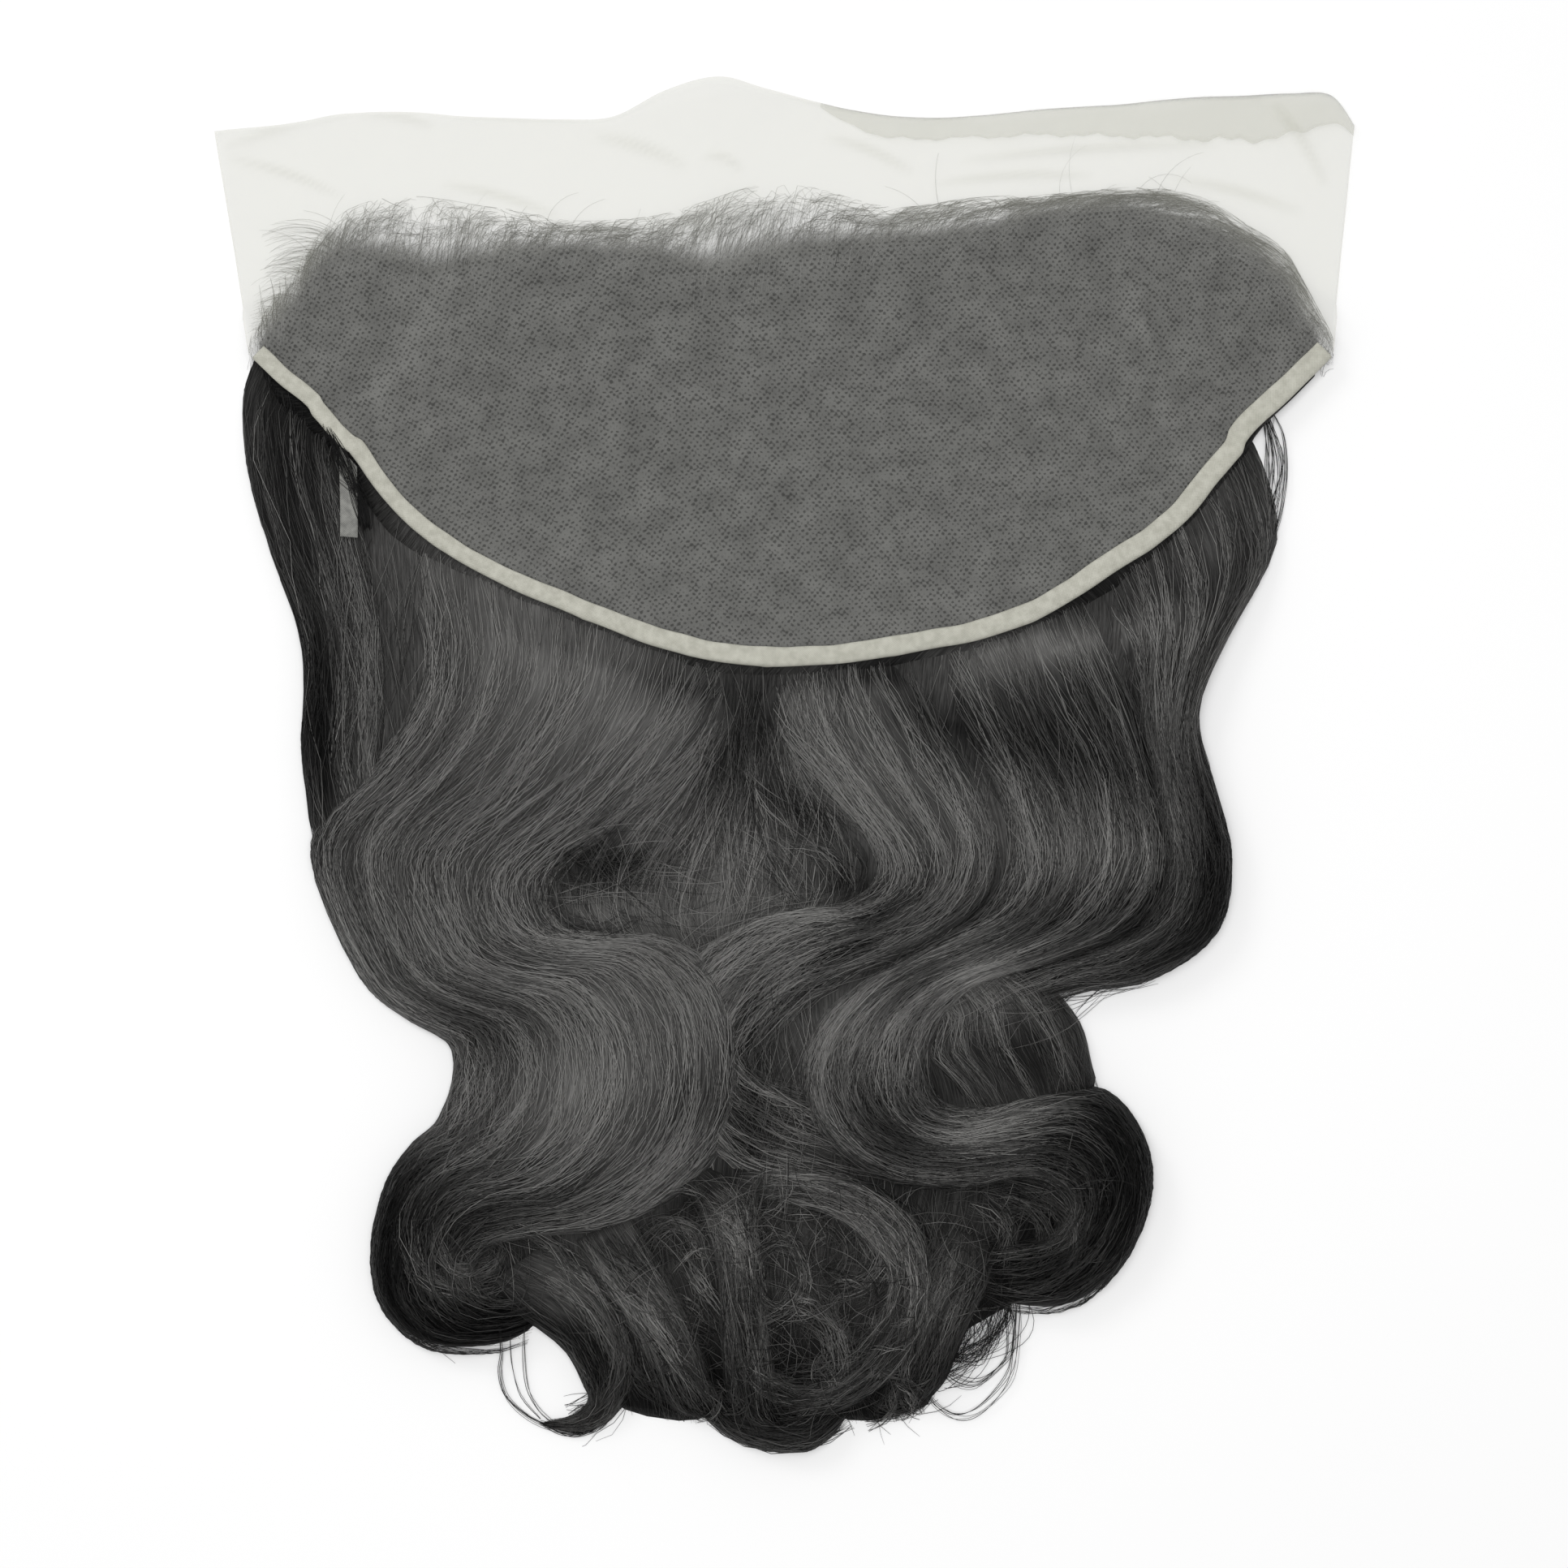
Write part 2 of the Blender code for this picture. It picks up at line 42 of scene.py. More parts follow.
# Net. The hair is tied into a fine net of single threads, cut with a bare edge in front
# of the hairline. It lies skin side up over the hair, ripples where it is bare, and its
# right half is turned over on itself along the front.

MM = 0.001
TABLE_CENTRE = (-0.3, 1.05)

# Sections of the net from left to right, in millimetres as the solids have them: outer
# edge of the tape, front edge, and the share of the way to the front that bears hair.
NET_SECTIONS = (
    # back_x, back_y, front_x, front_y, hairline
    (-165, 125.5, -176.4, 197, 0.24),
    (-156.5, 117.5, -162, 198.5, 0.38),
    (-147, 110, -149, 200, 0.48),
    (-135, 98, -136, 202.5, 0.60),
    (-123, 82, -118, 203, 0.65),
    (-110, 70, -101, 201.8, 0.66),
    (-95, 61, -87, 201.5, 0.68),
    (-80, 53.5, -71, 201, 0.69),
    (-60, 45.2, -54, 201.5, 0.70),
    (-40, 37.8, -37.5, 209.3, 0.68),
    (-20, 32.8, -20.8, 213.5, 0.66),
    (-3, 31.4, -5, 209.8, 0.69),
    (20.5, 33, 21, 203.8, 0.74),
    (40.5, 36, 38, 201.6, 0.77),
    (60.5, 40, 60, 202, 0.77),
    (80.5, 47.6, 83, 204.2, 0.78),
    (100, 59.5, 106, 205.6, 0.77),
    (120.5, 74, 128, 207.6, 0.72),
    (134, 89.5, 143, 208.2, 0.64),
    (145, 103.5, 156, 208.5, 0.50),
    (157, 115, 168.5, 208, 0.38),
    (168.5, 126.5, 175.8, 199, 0.24),
)

# Ripples of the bare front, each highest at the front edge.
RIPPLES = (
    # x, half_width, height
    (-172, 12, 2.6),
    (-140, 17, 1.8),
    (-108, 13, 2.4),
    (-64, 15, 1.2),
    (-22, 24, 4.8),
    (34, 12, 1),
    (72, 18, 2.2),
    (118, 20, 2.8),
    (160, 14, 3.6),
)

# Sharper creases, as ridges from one end to the other.
CREASES = (
    # start_x, start_y, end_x, end_y, half_width, height
    (-174, 192, -132, 203, 1.8, 1.3),
    (-134, 202.5, -108, 198.5, 1.6, 0.9),
    (-173, 189, -137, 177, 1.6, 0.9),
    (-107, 181, -70, 171, 1.8, 0.9),
    (-60, 196, -30, 186, 2.2, 0.8),
    (-26, 190, -13, 185, 1.6, 0.8),
    (12, 196, 40, 184, 2, 0.9),
    (45, 181, 96, 183.5, 1.8, 0.9),
    (53, 188, 133, 193, 1.8, 1.1),
    (118, 183, 160, 172, 2.2, 0.8),
    (150, 206, 167, 180, 2, 0.8),
    (103.5, 150, 118.5, 109, 2.6, 0.9),
    (-100, 156, -132, 108, 6, 0.8),
)

# Front of the dense hair, and how far the baby hair reaches past it.
HAIRLINE = (
    # x, dense_y, wisps_y
    (-167, 125, 129),
    (-162, 130, 138),
    (-156, 136.5, 148),
    (-150, 143.5, 156),
    (-145.5, 151, 163),
    (-139, 157.5, 170),
    (-130, 157.5, 174),
    (-120, 154, 175.5),
    (-110, 151.5, 175),
    (-95, 155, 173),
    (-80, 158.5, 171.5),
    (-67, 159.5, 169),
    (-42, 158, 170),
    (-24.5, 152, 174),
    (-9, 155, 178.5),
    (8, 159.5, 178.5),
    (33, 162, 173),
    (58, 164.5, 176),
    (83, 170.8, 177.5),
    (108, 172, 179.5),
    (128, 166.5, 176.5),
    (143, 158, 167.5),
    (154, 148, 160),
    (160, 136, 150),
    (165, 129, 140),
    (169.5, 125, 130),
)

# How far the turned over strip reaches back from the front edge.
FOLD_DEPTHS = (
    # x, depth
    (8, 0),
    (14, 3),
    (30, 7),
    (55, 6.5),
    (80, 8),
    (105, 10),
    (131, 13.5),
    (150, 14),
    (163, 12),
    (172, 6),
    (176, 3),
)

NET_ABOVE_UNDERSIDE = 0.5
TAPE_TO_NET = 1.3
HAIR_UNDER_FRONT = 1.1
REST_HEIGHT = 0.3
EDGE_MIDDLE = 9.4
EDGE_SIDE = 6.2
FLAT_BACK = 8.0
TURN_HEIGHT = 1.1
NET_PITCH = 1.6


def placed(points):
    """Points in the millimetres of the tables, as metres in the frame of the solids."""
    moved = np.array(points, float)
    moved[..., 0] -= TABLE_CENTRE[0]
    moved[..., 1] -= TABLE_CENTRE[1]
    return moved * MM


def smooth_rows(rows, steps):
    """The rows of a table with rows between them, on smooth curves through them all."""
    rows = np.array(rows, float)
    last = len(rows) - 1
    order = np.arange(last)
    before = rows[np.maximum(order - 1, 0), None]
    here = rows[order, None]
    after = rows[order + 1, None]
    beyond = rows[np.minimum(order + 2, last), None]
    share = (np.arange(steps) / steps)[None, :, None]
    bend = 2 * before - 5 * here + 4 * after - beyond
    twist = 3 * (here - after) + beyond - before
    between = here + 0.5 * share * ((after - before) + share * (bend + share * twist))
    return np.vstack([between.reshape(-1, rows.shape[1]), rows[-1:]])


def bumps(x, table):
    """Height at x from a table of bumps: the middle, half width and height of each."""
    return sum(height * np.exp(-(((x - middle) / half) ** 2)) for middle, half, height in table)


def creased(x, y):
    """How much of a crease there is at each point, from 0 to 1, and the height of it."""
    most = np.zeros_like(x)
    lift = np.zeros_like(x)
    for start_x, start_y, end_x, end_y, half_width, height in CREASES:
        run_x = end_x - start_x
        run_y = end_y - start_y
        run = math.hypot(run_x, run_y)
        along = ((x - start_x) * run_x + (y - start_y) * run_y) / run**2
        across = ((x - start_x) * run_y - (y - start_y) * run_x) / run
        across += 1.5 * np.sin(along * math.pi)
        ends = np.sin(math.pi * np.clip(along, 0, 1)) ** 0.7
        ridge = np.exp(-((across / half_width) ** 2)) * ends
        most = np.maximum(most, np.exp(-((across / (0.75 * half_width)) ** 2)) * ends)
        lift += height * ridge
    return most, lift


def over_hair(x, y):
    """1 where the net has hair under it, and less and less through the baby hair."""
    table = np.array(HAIRLINE)
    dense = np.interp(x, table[:, 0], table[:, 1])
    wisps = np.interp(x, table[:, 0], table[:, 2])
    return np.clip((wisps - y) / (wisps - dense), 0, 1)


def net_columns(steps):
    """Lines across the net from its back edge to its front, and what each one measures."""
    rows = smooth_rows(NET_SECTIONS, steps)
    back = rows[:, 0:2]
    front = rows[:, 2:4]
    length = np.linalg.norm(front - back, axis=1)
    ahead = np.vstack([back[1:], back[-1:]])
    behind = np.vstack([back[:1], back[:-1]])
    run = ahead - behind
    inward = np.stack([-run[:, 1], run[:, 0]], axis=1)
    inward /= np.linalg.norm(inward, axis=1)[:, None]
    lean = ((front - back) * inward).sum(axis=1) / length
    side = np.abs(np.linspace(-1, 1, len(rows)))
    return {
        "back": back,
        "front": front,
        "inward": inward,
        "length": length,
        "edge": TAPE_TO_NET / lean,
        "flat": FLAT_BACK / lean,
        "hair_end": rows[:, 4] * length,
        "edge_height": EDGE_MIDDLE - (EDGE_MIDDLE - EDGE_SIDE) * side**2,
    }


def on_columns(columns, place, distance):
    """Points of the net's lower face, at places across it from 0 to 1 and at distances
    from its back edge."""
    across = np.linspace(0, 1, len(columns["length"]))

    def here(values):
        return np.interp(place, across, values)

    length = here(columns["length"])
    hair_end = here(columns["hair_end"])
    flat = here(columns["flat"])
    edge_height = here(columns["edge_height"])
    share = distance / length
    x = here(columns["back"][:, 0]) * (1 - share) + here(columns["front"][:, 0]) * share
    y = here(columns["back"][:, 1]) * (1 - share) + here(columns["front"][:, 1]) * share
    up = np.clip((distance - flat) / (hair_end - flat), 0, 1)
    haired = HAIR_UNDER_FRONT + (edge_height - HAIR_UNDER_FRONT) * (1 - up) ** 0.8
    bare = (distance - hair_end) / (length - hair_end)
    eased = np.clip(3 * bare, 0, 1)
    eased = eased**2 * (3 - 2 * eased)
    settled = HAIR_UNDER_FRONT + (REST_HEIGHT - HAIR_UNDER_FRONT) * eased
    rippled = settled + bumps(x, RIPPLES) * np.clip(bare, 0, 2) ** 1.5
    return np.stack([x, y, np.where(bare <= 0, haired, rippled)], axis=-1)


def grid_faces(rows, columns, first=0):
    """Quads of a grid whose points are numbered row by row."""
    i, j = np.meshgrid(np.arange(rows - 1), np.arange(columns - 1), indexing="ij")
    start = first + i * columns + j
    quads = np.stack([start, start + 1, start + columns + 1, start + columns], axis=-1)
    return quads.reshape(-1, 4)


def mesh_object(name, points, quads, triangles=None, uv=None, values=None):
    """A smooth shaded object in the frame, from points in millimetres. uv is by point, and
    values holds attributes by name, also by point."""
    mesh = bpy.data.meshes.new(name)
    quads = np.asarray(quads, np.int32).reshape(-1, 4)
    triangles = np.zeros((0, 3), np.int32) if triangles is None else np.asarray(triangles)
    corners = np.concatenate([quads.ravel(), triangles.ravel()]).astype(np.int32)
    counts = np.concatenate([np.full(len(quads), 4), np.full(len(triangles), 3)])
    starts = np.concatenate([[0], np.cumsum(counts)[:-1]]).astype(np.int32)
    mesh.vertices.add(len(points))
    mesh.vertices.foreach_set("co", placed(points).astype(np.float32).ravel())
    mesh.loops.add(len(corners))
    mesh.loops.foreach_set("vertex_index", corners)
    mesh.polygons.add(len(counts))
    mesh.polygons.foreach_set("loop_start", starts)
    mesh.update(calc_edges=True)
    mesh.shade_smooth()
    if uv is not None:
        layer = mesh.uv_layers.new(name="UVMap")
        layer.data.foreach_set("uv", uv[corners].astype(np.float32).ravel())
    for value_name, value in (values or {}).items():
        attribute = mesh.attributes.new(value_name, "FLOAT", "POINT")
        attribute.data.foreach_set("value", value.astype(np.float32).ravel())
    obj = bpy.data.objects.new(name, mesh)
    bpy.context.scene.collection.objects.link(obj)
    return obj


def new_material(name, roughness, colour):
    """A material of one roughness and colour, and the shader in it."""
    material = bpy.data.materials.new(name)
    material.use_nodes = True
    shader = material.node_tree.nodes["Principled BSDF"]
    shader.inputs["Base Color"].default_value = (*colour, 1.0)
    shader.inputs["Roughness"].default_value = roughness
    return material, shader


def add_node(tree, kind, **settings):
    """A node with its settings; a setting named in_ and a number sets the input of that number."""
    node = tree.nodes.new(kind)
    for key, value in settings.items():
        if key.startswith("in_"):
            node.inputs[int(key[3:])].default_value = value
        else:
            setattr(node, key, value)
    return node


def link(tree, source, output, target, entry):
    """Joins a node's output to another node's input, each by its name or number."""
    tree.links.new(source.outputs[output], target.inputs[entry])


def new_group(name, inputs, outputs):
    """An empty node group with float or vector sockets, and its two end nodes."""
    group = bpy.data.node_groups.new(name, "ShaderNodeTree")
    for in_out, sockets in (("INPUT", inputs), ("OUTPUT", outputs)):
        for socket, kind in sockets:
            group.interface.new_socket(name=socket, in_out=in_out, socket_type=kind)
    return group, group.nodes.new("NodeGroupInput"), group.nodes.new("NodeGroupOutput")


FLOAT = "NodeSocketFloat"
VECTOR = "NodeSocketVector"
COLOUR = "NodeSocketColor"

# Threads of a net: two strong waves and a weak one cross on an uneven grid, and leave a
# hole where they all peak.
net_threads, threads_in, threads_out = new_group(
    "net_threads", [("Place", VECTOR)], [("Thread", FLOAT)]
)
thread_noise = add_node(net_threads, "ShaderNodeTexNoise", in_2=0.45, in_3=2.0)
warped = add_node(net_threads, "ShaderNodeVectorMath", operation="MULTIPLY_ADD", in_1=(1.1, 1.1, 0.0))
link(net_threads, threads_in, "Place", thread_noise, "Vector")
link(net_threads, thread_noise, "Color", warped, 0)
link(net_threads, threads_in, "Place", warped, 2)
wave_sum = None
for turn, weight in ((50, 1.0), (146, 1.0), (98, 0.6)):
    steep = 4 * math.pi / math.sqrt(3)
    run_x = steep * math.cos(math.radians(turn))
    run_y = steep * math.sin(math.radians(turn))
    dot = add_node(
        net_threads, "ShaderNodeVectorMath", operation="DOT_PRODUCT", in_1=(run_x, run_y, 0)
    )
    wave = add_node(net_threads, "ShaderNodeMath", operation="COSINE")
    total = add_node(net_threads, "ShaderNodeMath", operation="MULTIPLY_ADD", in_1=weight, in_2=0.0)
    link(net_threads, warped, 0, dot, 0)
    link(net_threads, dot, "Value", wave, 0)
    link(net_threads, wave, 0, total, 0)
    if wave_sum:
        link(net_threads, wave_sum, 0, total, 2)
    wave_sum = total
hole_noise = add_node(net_threads, "ShaderNodeTexNoise", in_2=0.6, in_3=4.0)
uneven = add_node(net_threads, "ShaderNodeMapRange", in_1=0.3, in_2=0.7, in_3=-1.3, in_4=1.0)
shifted = add_node(net_threads, "ShaderNodeMath", operation="ADD")
opened = add_node(
    net_threads,
    "ShaderNodeMapRange",
    interpolation_type="SMOOTHSTEP",
    in_1=-0.2,
    in_2=2.0,
    in_3=1.0,
    in_4=0.0,
)
link(net_threads, threads_in, "Place", hole_noise, "Vector")
link(net_threads, hole_noise, "Fac", uneven, 0)
link(net_threads, wave_sum, 0, shifted, 0)
link(net_threads, uneven, 0, shifted, 1)
link(net_threads, shifted, 0, opened, 0)
link(net_threads, opened, 0, threads_out, "Thread")

# The net's material: thin threads that let most light through between them, and show
# more where the net is bunched in a crease or cut at an edge.
net_material, net_shader = new_material("net", 0.75, (0.60, 0.60, 0.51))
net_shader.inputs["Specular IOR Level"].default_value = 0.3
net_tree = net_material.node_tree
net_uv = add_node(net_tree, "ShaderNodeUVMap", uv_map="UVMap")
net_group = add_node(net_tree, "ShaderNodeGroup", node_tree=net_threads)
net_bunched = add_node(net_tree, "ShaderNodeAttribute", attribute_name="bunched")
net_cover = add_node(net_tree, "ShaderNodeMapRange", in_1=0.0, in_2=1.0, in_3=0.104, in_4=0.238)
net_haired = add_node(net_tree, "ShaderNodeAttribute", attribute_name="haired")
net_mix = add_node(net_tree, "ShaderNodeMix", data_type="FLOAT", in_2=0.235)
net_patches = add_node(net_tree, "ShaderNodeTexNoise", in_2=0.16, in_3=6.0)
net_uneven = add_node(net_tree, "ShaderNodeMapRange", in_1=0.3, in_2=0.7, in_3=-0.18, in_4=0.18)
net_patchy = add_node(net_tree, "ShaderNodeMath", operation="MULTIPLY_ADD", in_2=1.0)
net_patched = add_node(net_tree, "ShaderNodeMath", operation="MULTIPLY")
net_more = add_node(net_tree, "ShaderNodeMath", operation="MULTIPLY_ADD", in_1=0.7, in_2=1.0)
net_alpha = add_node(net_tree, "ShaderNodeMath", operation="MULTIPLY", use_clamp=True)
net_bump = add_node(net_tree, "ShaderNodeBump", in_0=0.4, in_1=0.0002)
link(net_tree, net_uv, "UV", net_group, "Place")
link(net_tree, net_group, "Thread", net_cover, 0)
link(net_tree, net_bunched, "Fac", net_more, 0)
link(net_tree, net_uv, "UV", net_patches, "Vector")
link(net_tree, net_patches, "Fac", net_uneven, 0)
link(net_tree, net_haired, "Fac", net_mix, 0)
link(net_tree, net_cover, 0, net_mix, 3)
link(net_tree, net_mix, 0, net_patched, 0)
link(net_tree, net_haired, "Fac", net_patchy, 0)
link(net_tree, net_uneven, 0, net_patchy, 1)
link(net_tree, net_patchy, 0, net_patched, 1)
link(net_tree, net_patched, 0, net_alpha, 0)
link(net_tree, net_more, 0, net_alpha, 1)
net_colour = add_node(net_tree, "ShaderNodeMix", data_type="RGBA")
net_colour.inputs[6].default_value = (0.60, 0.60, 0.51, 1.0)
net_colour.inputs[7].default_value = (0.58, 0.58, 0.55, 1.0)
link(net_tree, net_haired, "Fac", net_colour, 0)
link(net_tree, net_colour, 2, net_shader, "Base Color")
link(net_tree, net_alpha, 0, net_shader, "Alpha")
link(net_tree, net_group, "Thread", net_bump, "Height")
link(net_tree, net_bump, "Normal", net_shader, "Normal")


def make_net(steps=10, haired_rows=44, bare_rows=34, fold_rows=7):
    """The net as one open sheet, from the tape to its front edge and its turned over strip."""
    columns = net_columns(steps)
    count = len(columns["length"])
    place = np.linspace(0, 1, count)
    haired = np.linspace(0, 1, haired_rows, endpoint=False)[:, None]
    bare = np.linspace(0, 1, bare_rows)[:, None]
    behind = columns["edge"] + haired * (columns["hair_end"] - columns["edge"])
    in_front = columns["hair_end"] + bare * (columns["length"] - columns["hair_end"])
    distance = np.vstack([behind, in_front])
    main = on_columns(columns, place[None, :], distance)
    main[..., 2] += NET_ABOVE_UNDERSIDE
    front_x = columns["front"][:, 0]
    depth = np.interp(front_x, *np.array(FOLD_DEPTHS).T)
    turned = np.linspace(0, 1, fold_rows + 1)[1:, None]
    ragged = 1 + 0.05 * np.sin(front_x * 0.31) + 0.04 * np.sin(front_x * 0.83)
    turned_distance = columns["length"] - turned * depth * ragged
    strip = on_columns(columns, place[None, :], turned_distance)
    lifted = TURN_HEIGHT * np.clip(depth / 6.0, 0, 1) * (0.6 + 0.4 * np.sin(3.0 * turned))
    strip[..., 2] += NET_ABOVE_UNDERSIDE + lifted
    points = np.concatenate([main, strip], axis=0)
    rows = points.shape[0]
    x = points[..., 0]
    y = points[..., 1]
    most, lift = creased(x, y)
    fine = 0.16 * np.sin(0.21 * x + 0.13 * y) + 0.12 * np.sin(0.37 * x - 0.29 * y + 1.0)
    looseness = np.clip((np.vstack([distance, turned_distance]) / columns["hair_end"] - 0.8) * 3, 0.3, 1)
    points[..., 2] = np.maximum(points[..., 2] + lift + fine * looseness, 0.15)
    turn = math.radians(4.0) * np.sin(0.012 * x + 0.4)
    grain_x = (x * np.cos(turn) - y * np.sin(turn) + 0.6 * np.sin(0.05 * y)) / NET_PITCH
    grain_y = (x * np.sin(turn) + y * np.cos(turn) + 0.8 * np.sin(0.04 * x)) / NET_PITCH
    edge = np.zeros((rows, count))
    edge[:, :1] = 1.0
    edge[:, -1:] = 1.0
    edge[len(main) - 1] = 0.7
    edge[-1] = 0.7
    bunched = np.maximum(0.7 * most * (1 - 0.45 * over_hair(x, y)), edge)
    quads = grid_faces(rows, count).reshape(rows - 1, count - 1, 4)
    folded = np.minimum(depth[1:], depth[:-1]) > 0.5
    kept = [quads[: len(main) - 1].reshape(-1, 4)]
    kept.append(quads[len(main) - 1 :, folded].reshape(-1, 4))
    obj = mesh_object(
        "net",
        points.reshape(-1, 3),
        np.vstack(kept),
        uv=np.stack([grain_x, grain_y], axis=-1).reshape(-1, 2),
        values={"bunched": bunched.ravel(), "haired": over_hair(x, y).ravel()},
    )
    obj.data.materials.append(net_material)
    return obj


net = make_net()
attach(net, "root")
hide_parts("lace_sheet")

# Tape along the back edge. A soft woven tape is folded over the cut edge of the net and
# sewn down, and puckers a little where it follows the tightest turns.

TAPE_WIDTH = 6.0

# The folded tape's outline: inwards from its outer edge, and over the middle of the net.
TAPE_OUTLINE = (
    # inward, height
    (5.95, 0.55),
    (6, 0.95),
    (5.6, 1.25),
    (4.3, 1.45),
    (2.6, 1.55),
    (1.1, 1.4),
    (0.3, 0.95),
    (0, 0.3),
    (0, -0.4),
    (0.3, -1),
    (1.2, -1.4),
    (4.2, -1.4),
    (4.5, -1.1),
    (4.2, -0.75),
    (1.3, -0.75),
    (0.8, -0.3),
    (0.85, 0.3),
    (1.5, 0.65),
)

# Puckers, where the tape is pinched and stands up a little.
PUCKERS = (
    # x, half_width, height
    (-146, 2.2, 0.5),
    (-134.5, 1.8, 0.45),
    (-108, 2.4, 0.25),
    (-62, 1.8, 0.4),
    (-30, 3, 0.2),
    (-6, 1.6, 0.4),
    (34, 2.6, 0.2),
    (76, 2.2, 0.25),
    (112, 2.6, 0.25),
    (140.5, 1.8, 0.45),
)

# Where the tape was joined and steps inwards or outwards, as the shift of its edge.
TAPE_JOINS = (
    # x, shift
    (-160, 1.2),
    (-147.2, 1),
    (-145.6, 0.2),
    (-139.5, -0.7),
    (-136, -0.5),
    (-134.6, 0.5),
    (-120, 0),
    (132, 0),
    (140, -0.4),
    (142, 0.7),
    (168, 0.6),
)

# Plain weave: two rows of threads cross, over patches where it is looser.
tape_weave, weave_in, weave_out = new_group(
    "tape_weave", [("Place", VECTOR)], [("Tone", FLOAT), ("Height", FLOAT)]
)
weave_parts = add_node(tape_weave, "ShaderNodeSeparateXYZ")
weave_waves = []
for axis in (0, 1):
    wave = add_node(tape_weave, "ShaderNodeMath", operation="MULTIPLY", in_1=9.0)
    sine = add_node(tape_weave, "ShaderNodeMath", operation="SINE")
    link(tape_weave, weave_parts, axis, wave, 0)
    link(tape_weave, wave, 0, sine, 0)
    weave_waves.append(sine)
weave_height = add_node(tape_weave, "ShaderNodeMath", operation="MULTIPLY")
weave_noise = add_node(tape_weave, "ShaderNodeTexNoise", in_2=0.35, in_3=4.0, in_4=0.6)
weave_tone = add_node(tape_weave, "ShaderNodeMath", operation="MULTIPLY_ADD", in_1=0.10)
link(tape_weave, weave_in, "Place", weave_parts, 0)
link(tape_weave, weave_in, "Place", weave_noise, "Vector")
link(tape_weave, weave_waves[0], 0, weave_height, 0)
link(tape_weave, weave_waves[1], 0, weave_height, 1)
link(tape_weave, weave_height, 0, weave_tone, 0)
link(tape_weave, weave_noise, "Fac", weave_tone, 2)
link(tape_weave, weave_tone, 0, weave_out, "Tone")
link(tape_weave, weave_height, 0, weave_out, "Height")


def woven(name, dark, light):
    """A matt woven material between two tones."""
    material, shader = new_material(name, 0.85, light)
    shader.inputs["Specular IOR Level"].default_value = 0.2
    tree = material.node_tree
    uv = add_node(tree, "ShaderNodeUVMap", uv_map="UVMap")
    weave = add_node(tree, "ShaderNodeGroup", node_tree=tape_weave)
    ramp = add_node(tree, "ShaderNodeValToRGB")
    ramp.color_ramp.elements[0].position = 0.34
    ramp.color_ramp.elements[0].color = (*dark, 1.0)
    ramp.color_ramp.elements[1].position = 0.66
    ramp.color_ramp.elements[1].color = (*light, 1.0)
    bump = add_node(tree, "ShaderNodeBump", in_0=0.5, in_1=0.00012)
    link(tree, uv, "UV", weave, "Place")
    link(tree, weave, "Tone", ramp, "Fac")
    link(tree, ramp, "Color", shader, "Base Color")
    link(tree, weave, "Height", bump, "Height")
    link(tree, bump, "Normal", shader, "Normal")
    return material


tape_material = woven("woven_tape", (0.43, 0.425, 0.365), (0.56, 0.555, 0.485))


def shell_faces(rows, around, first=0):
    """Quads of a closed tube whose points are numbered loop by loop, and its two caps."""
    start = first + np.arange(rows - 1) * around
    seam = np.stack([start + around - 1, start, start + around, start + 2 * around - 1], axis=1)
    caps = []
    for ring, flip in ((first, 1), (first + (rows - 1) * around, -1)):
        caps += [(ring, ring + k, ring + k + 1)[::flip] for k in range(1, around - 1)]
    return np.vstack([grid_faces(rows, around, first), seam]), np.array(caps)


def face_outwards(obj):
    """Turns the faces of a closed piece outwards."""
    bpy.context.view_layer.objects.active = obj
    obj.select_set(True)
    bpy.ops.object.mode_set(mode="EDIT")
    bpy.ops.mesh.select_all(action="SELECT")
    bpy.ops.mesh.normals_make_consistent(inside=False)
    bpy.ops.object.mode_set(mode="OBJECT")
    obj.select_set(False)


def closed_sweep(name, loops, uv):
    """A closed tube through loops of points, capped at both ends."""
    quads, caps = shell_faces(*loops.shape[:2])
    obj = mesh_object(name, loops.reshape(-1, 3), quads, caps, uv.reshape(-1, 2))
    face_outwards(obj)
    return obj


def make_edge_tape(steps=18):
    """The tape along the back edge of the net."""
    columns = net_columns(steps)
    outline = smooth_rows(TAPE_OUTLINE, 1)
    step = np.linalg.norm(np.diff(columns["back"], axis=0), axis=1)
    along = np.concatenate([[0], np.cumsum(step)])
    wander = 0.15 * np.sin(along * 0.11) + 0.07 * np.sin(along * 0.31 + 1.3)
    narrow = 1 + 0.02 * np.sin(along * 0.17 + 0.6) + 0.012 * np.sin(along * 0.47)
    pucker = bumps(columns["back"][:, 0], PUCKERS)
    narrow *= np.interp(columns["back"][:, 0], (-165, -100, -30, 60, 120), (0.86, 0.88, 1.0, 1.0, 1.1))
    joined = np.interp(columns["back"][:, 0], *np.array(TAPE_JOINS).T)
    inward = outline[None, :, 0] * narrow[:, None] + (wander + joined)[:, None]
    inward -= 0.5 * pucker[:, None] * (1 - outline[None, :, 0] / TAPE_WIDTH)
    middle = columns["edge_height"] + NET_ABOVE_UNDERSIDE
    height = middle[:, None] + outline[None, :, 1]
    upper = np.clip(outline[:, 1], 0, 1)[None, :]
    ripple = 0.05 * np.sin(along * 0.5)[:, None] + 0.03 * np.sin(along * 1.3 + 0.5)[:, None]
    height = height + upper * (pucker[:, None] + ripple)
    plan = columns["back"][:, None, :] + columns["inward"][:, None, :] * inward[..., None]
    loops = np.concatenate([plan, height[..., None]], axis=-1)
    around = np.concatenate([[0], np.cumsum(np.linalg.norm(np.diff(outline, axis=0), axis=1))])
    uv = np.stack(np.broadcast_arrays(along[:, None], around[None, :]), axis=-1)
    return closed_sweep("edge_tape", loops, uv)


edge_tape = make_edge_tape()
edge_tape.data.materials.append(tape_material)
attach(edge_tape, "root")
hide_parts("edge_binding")

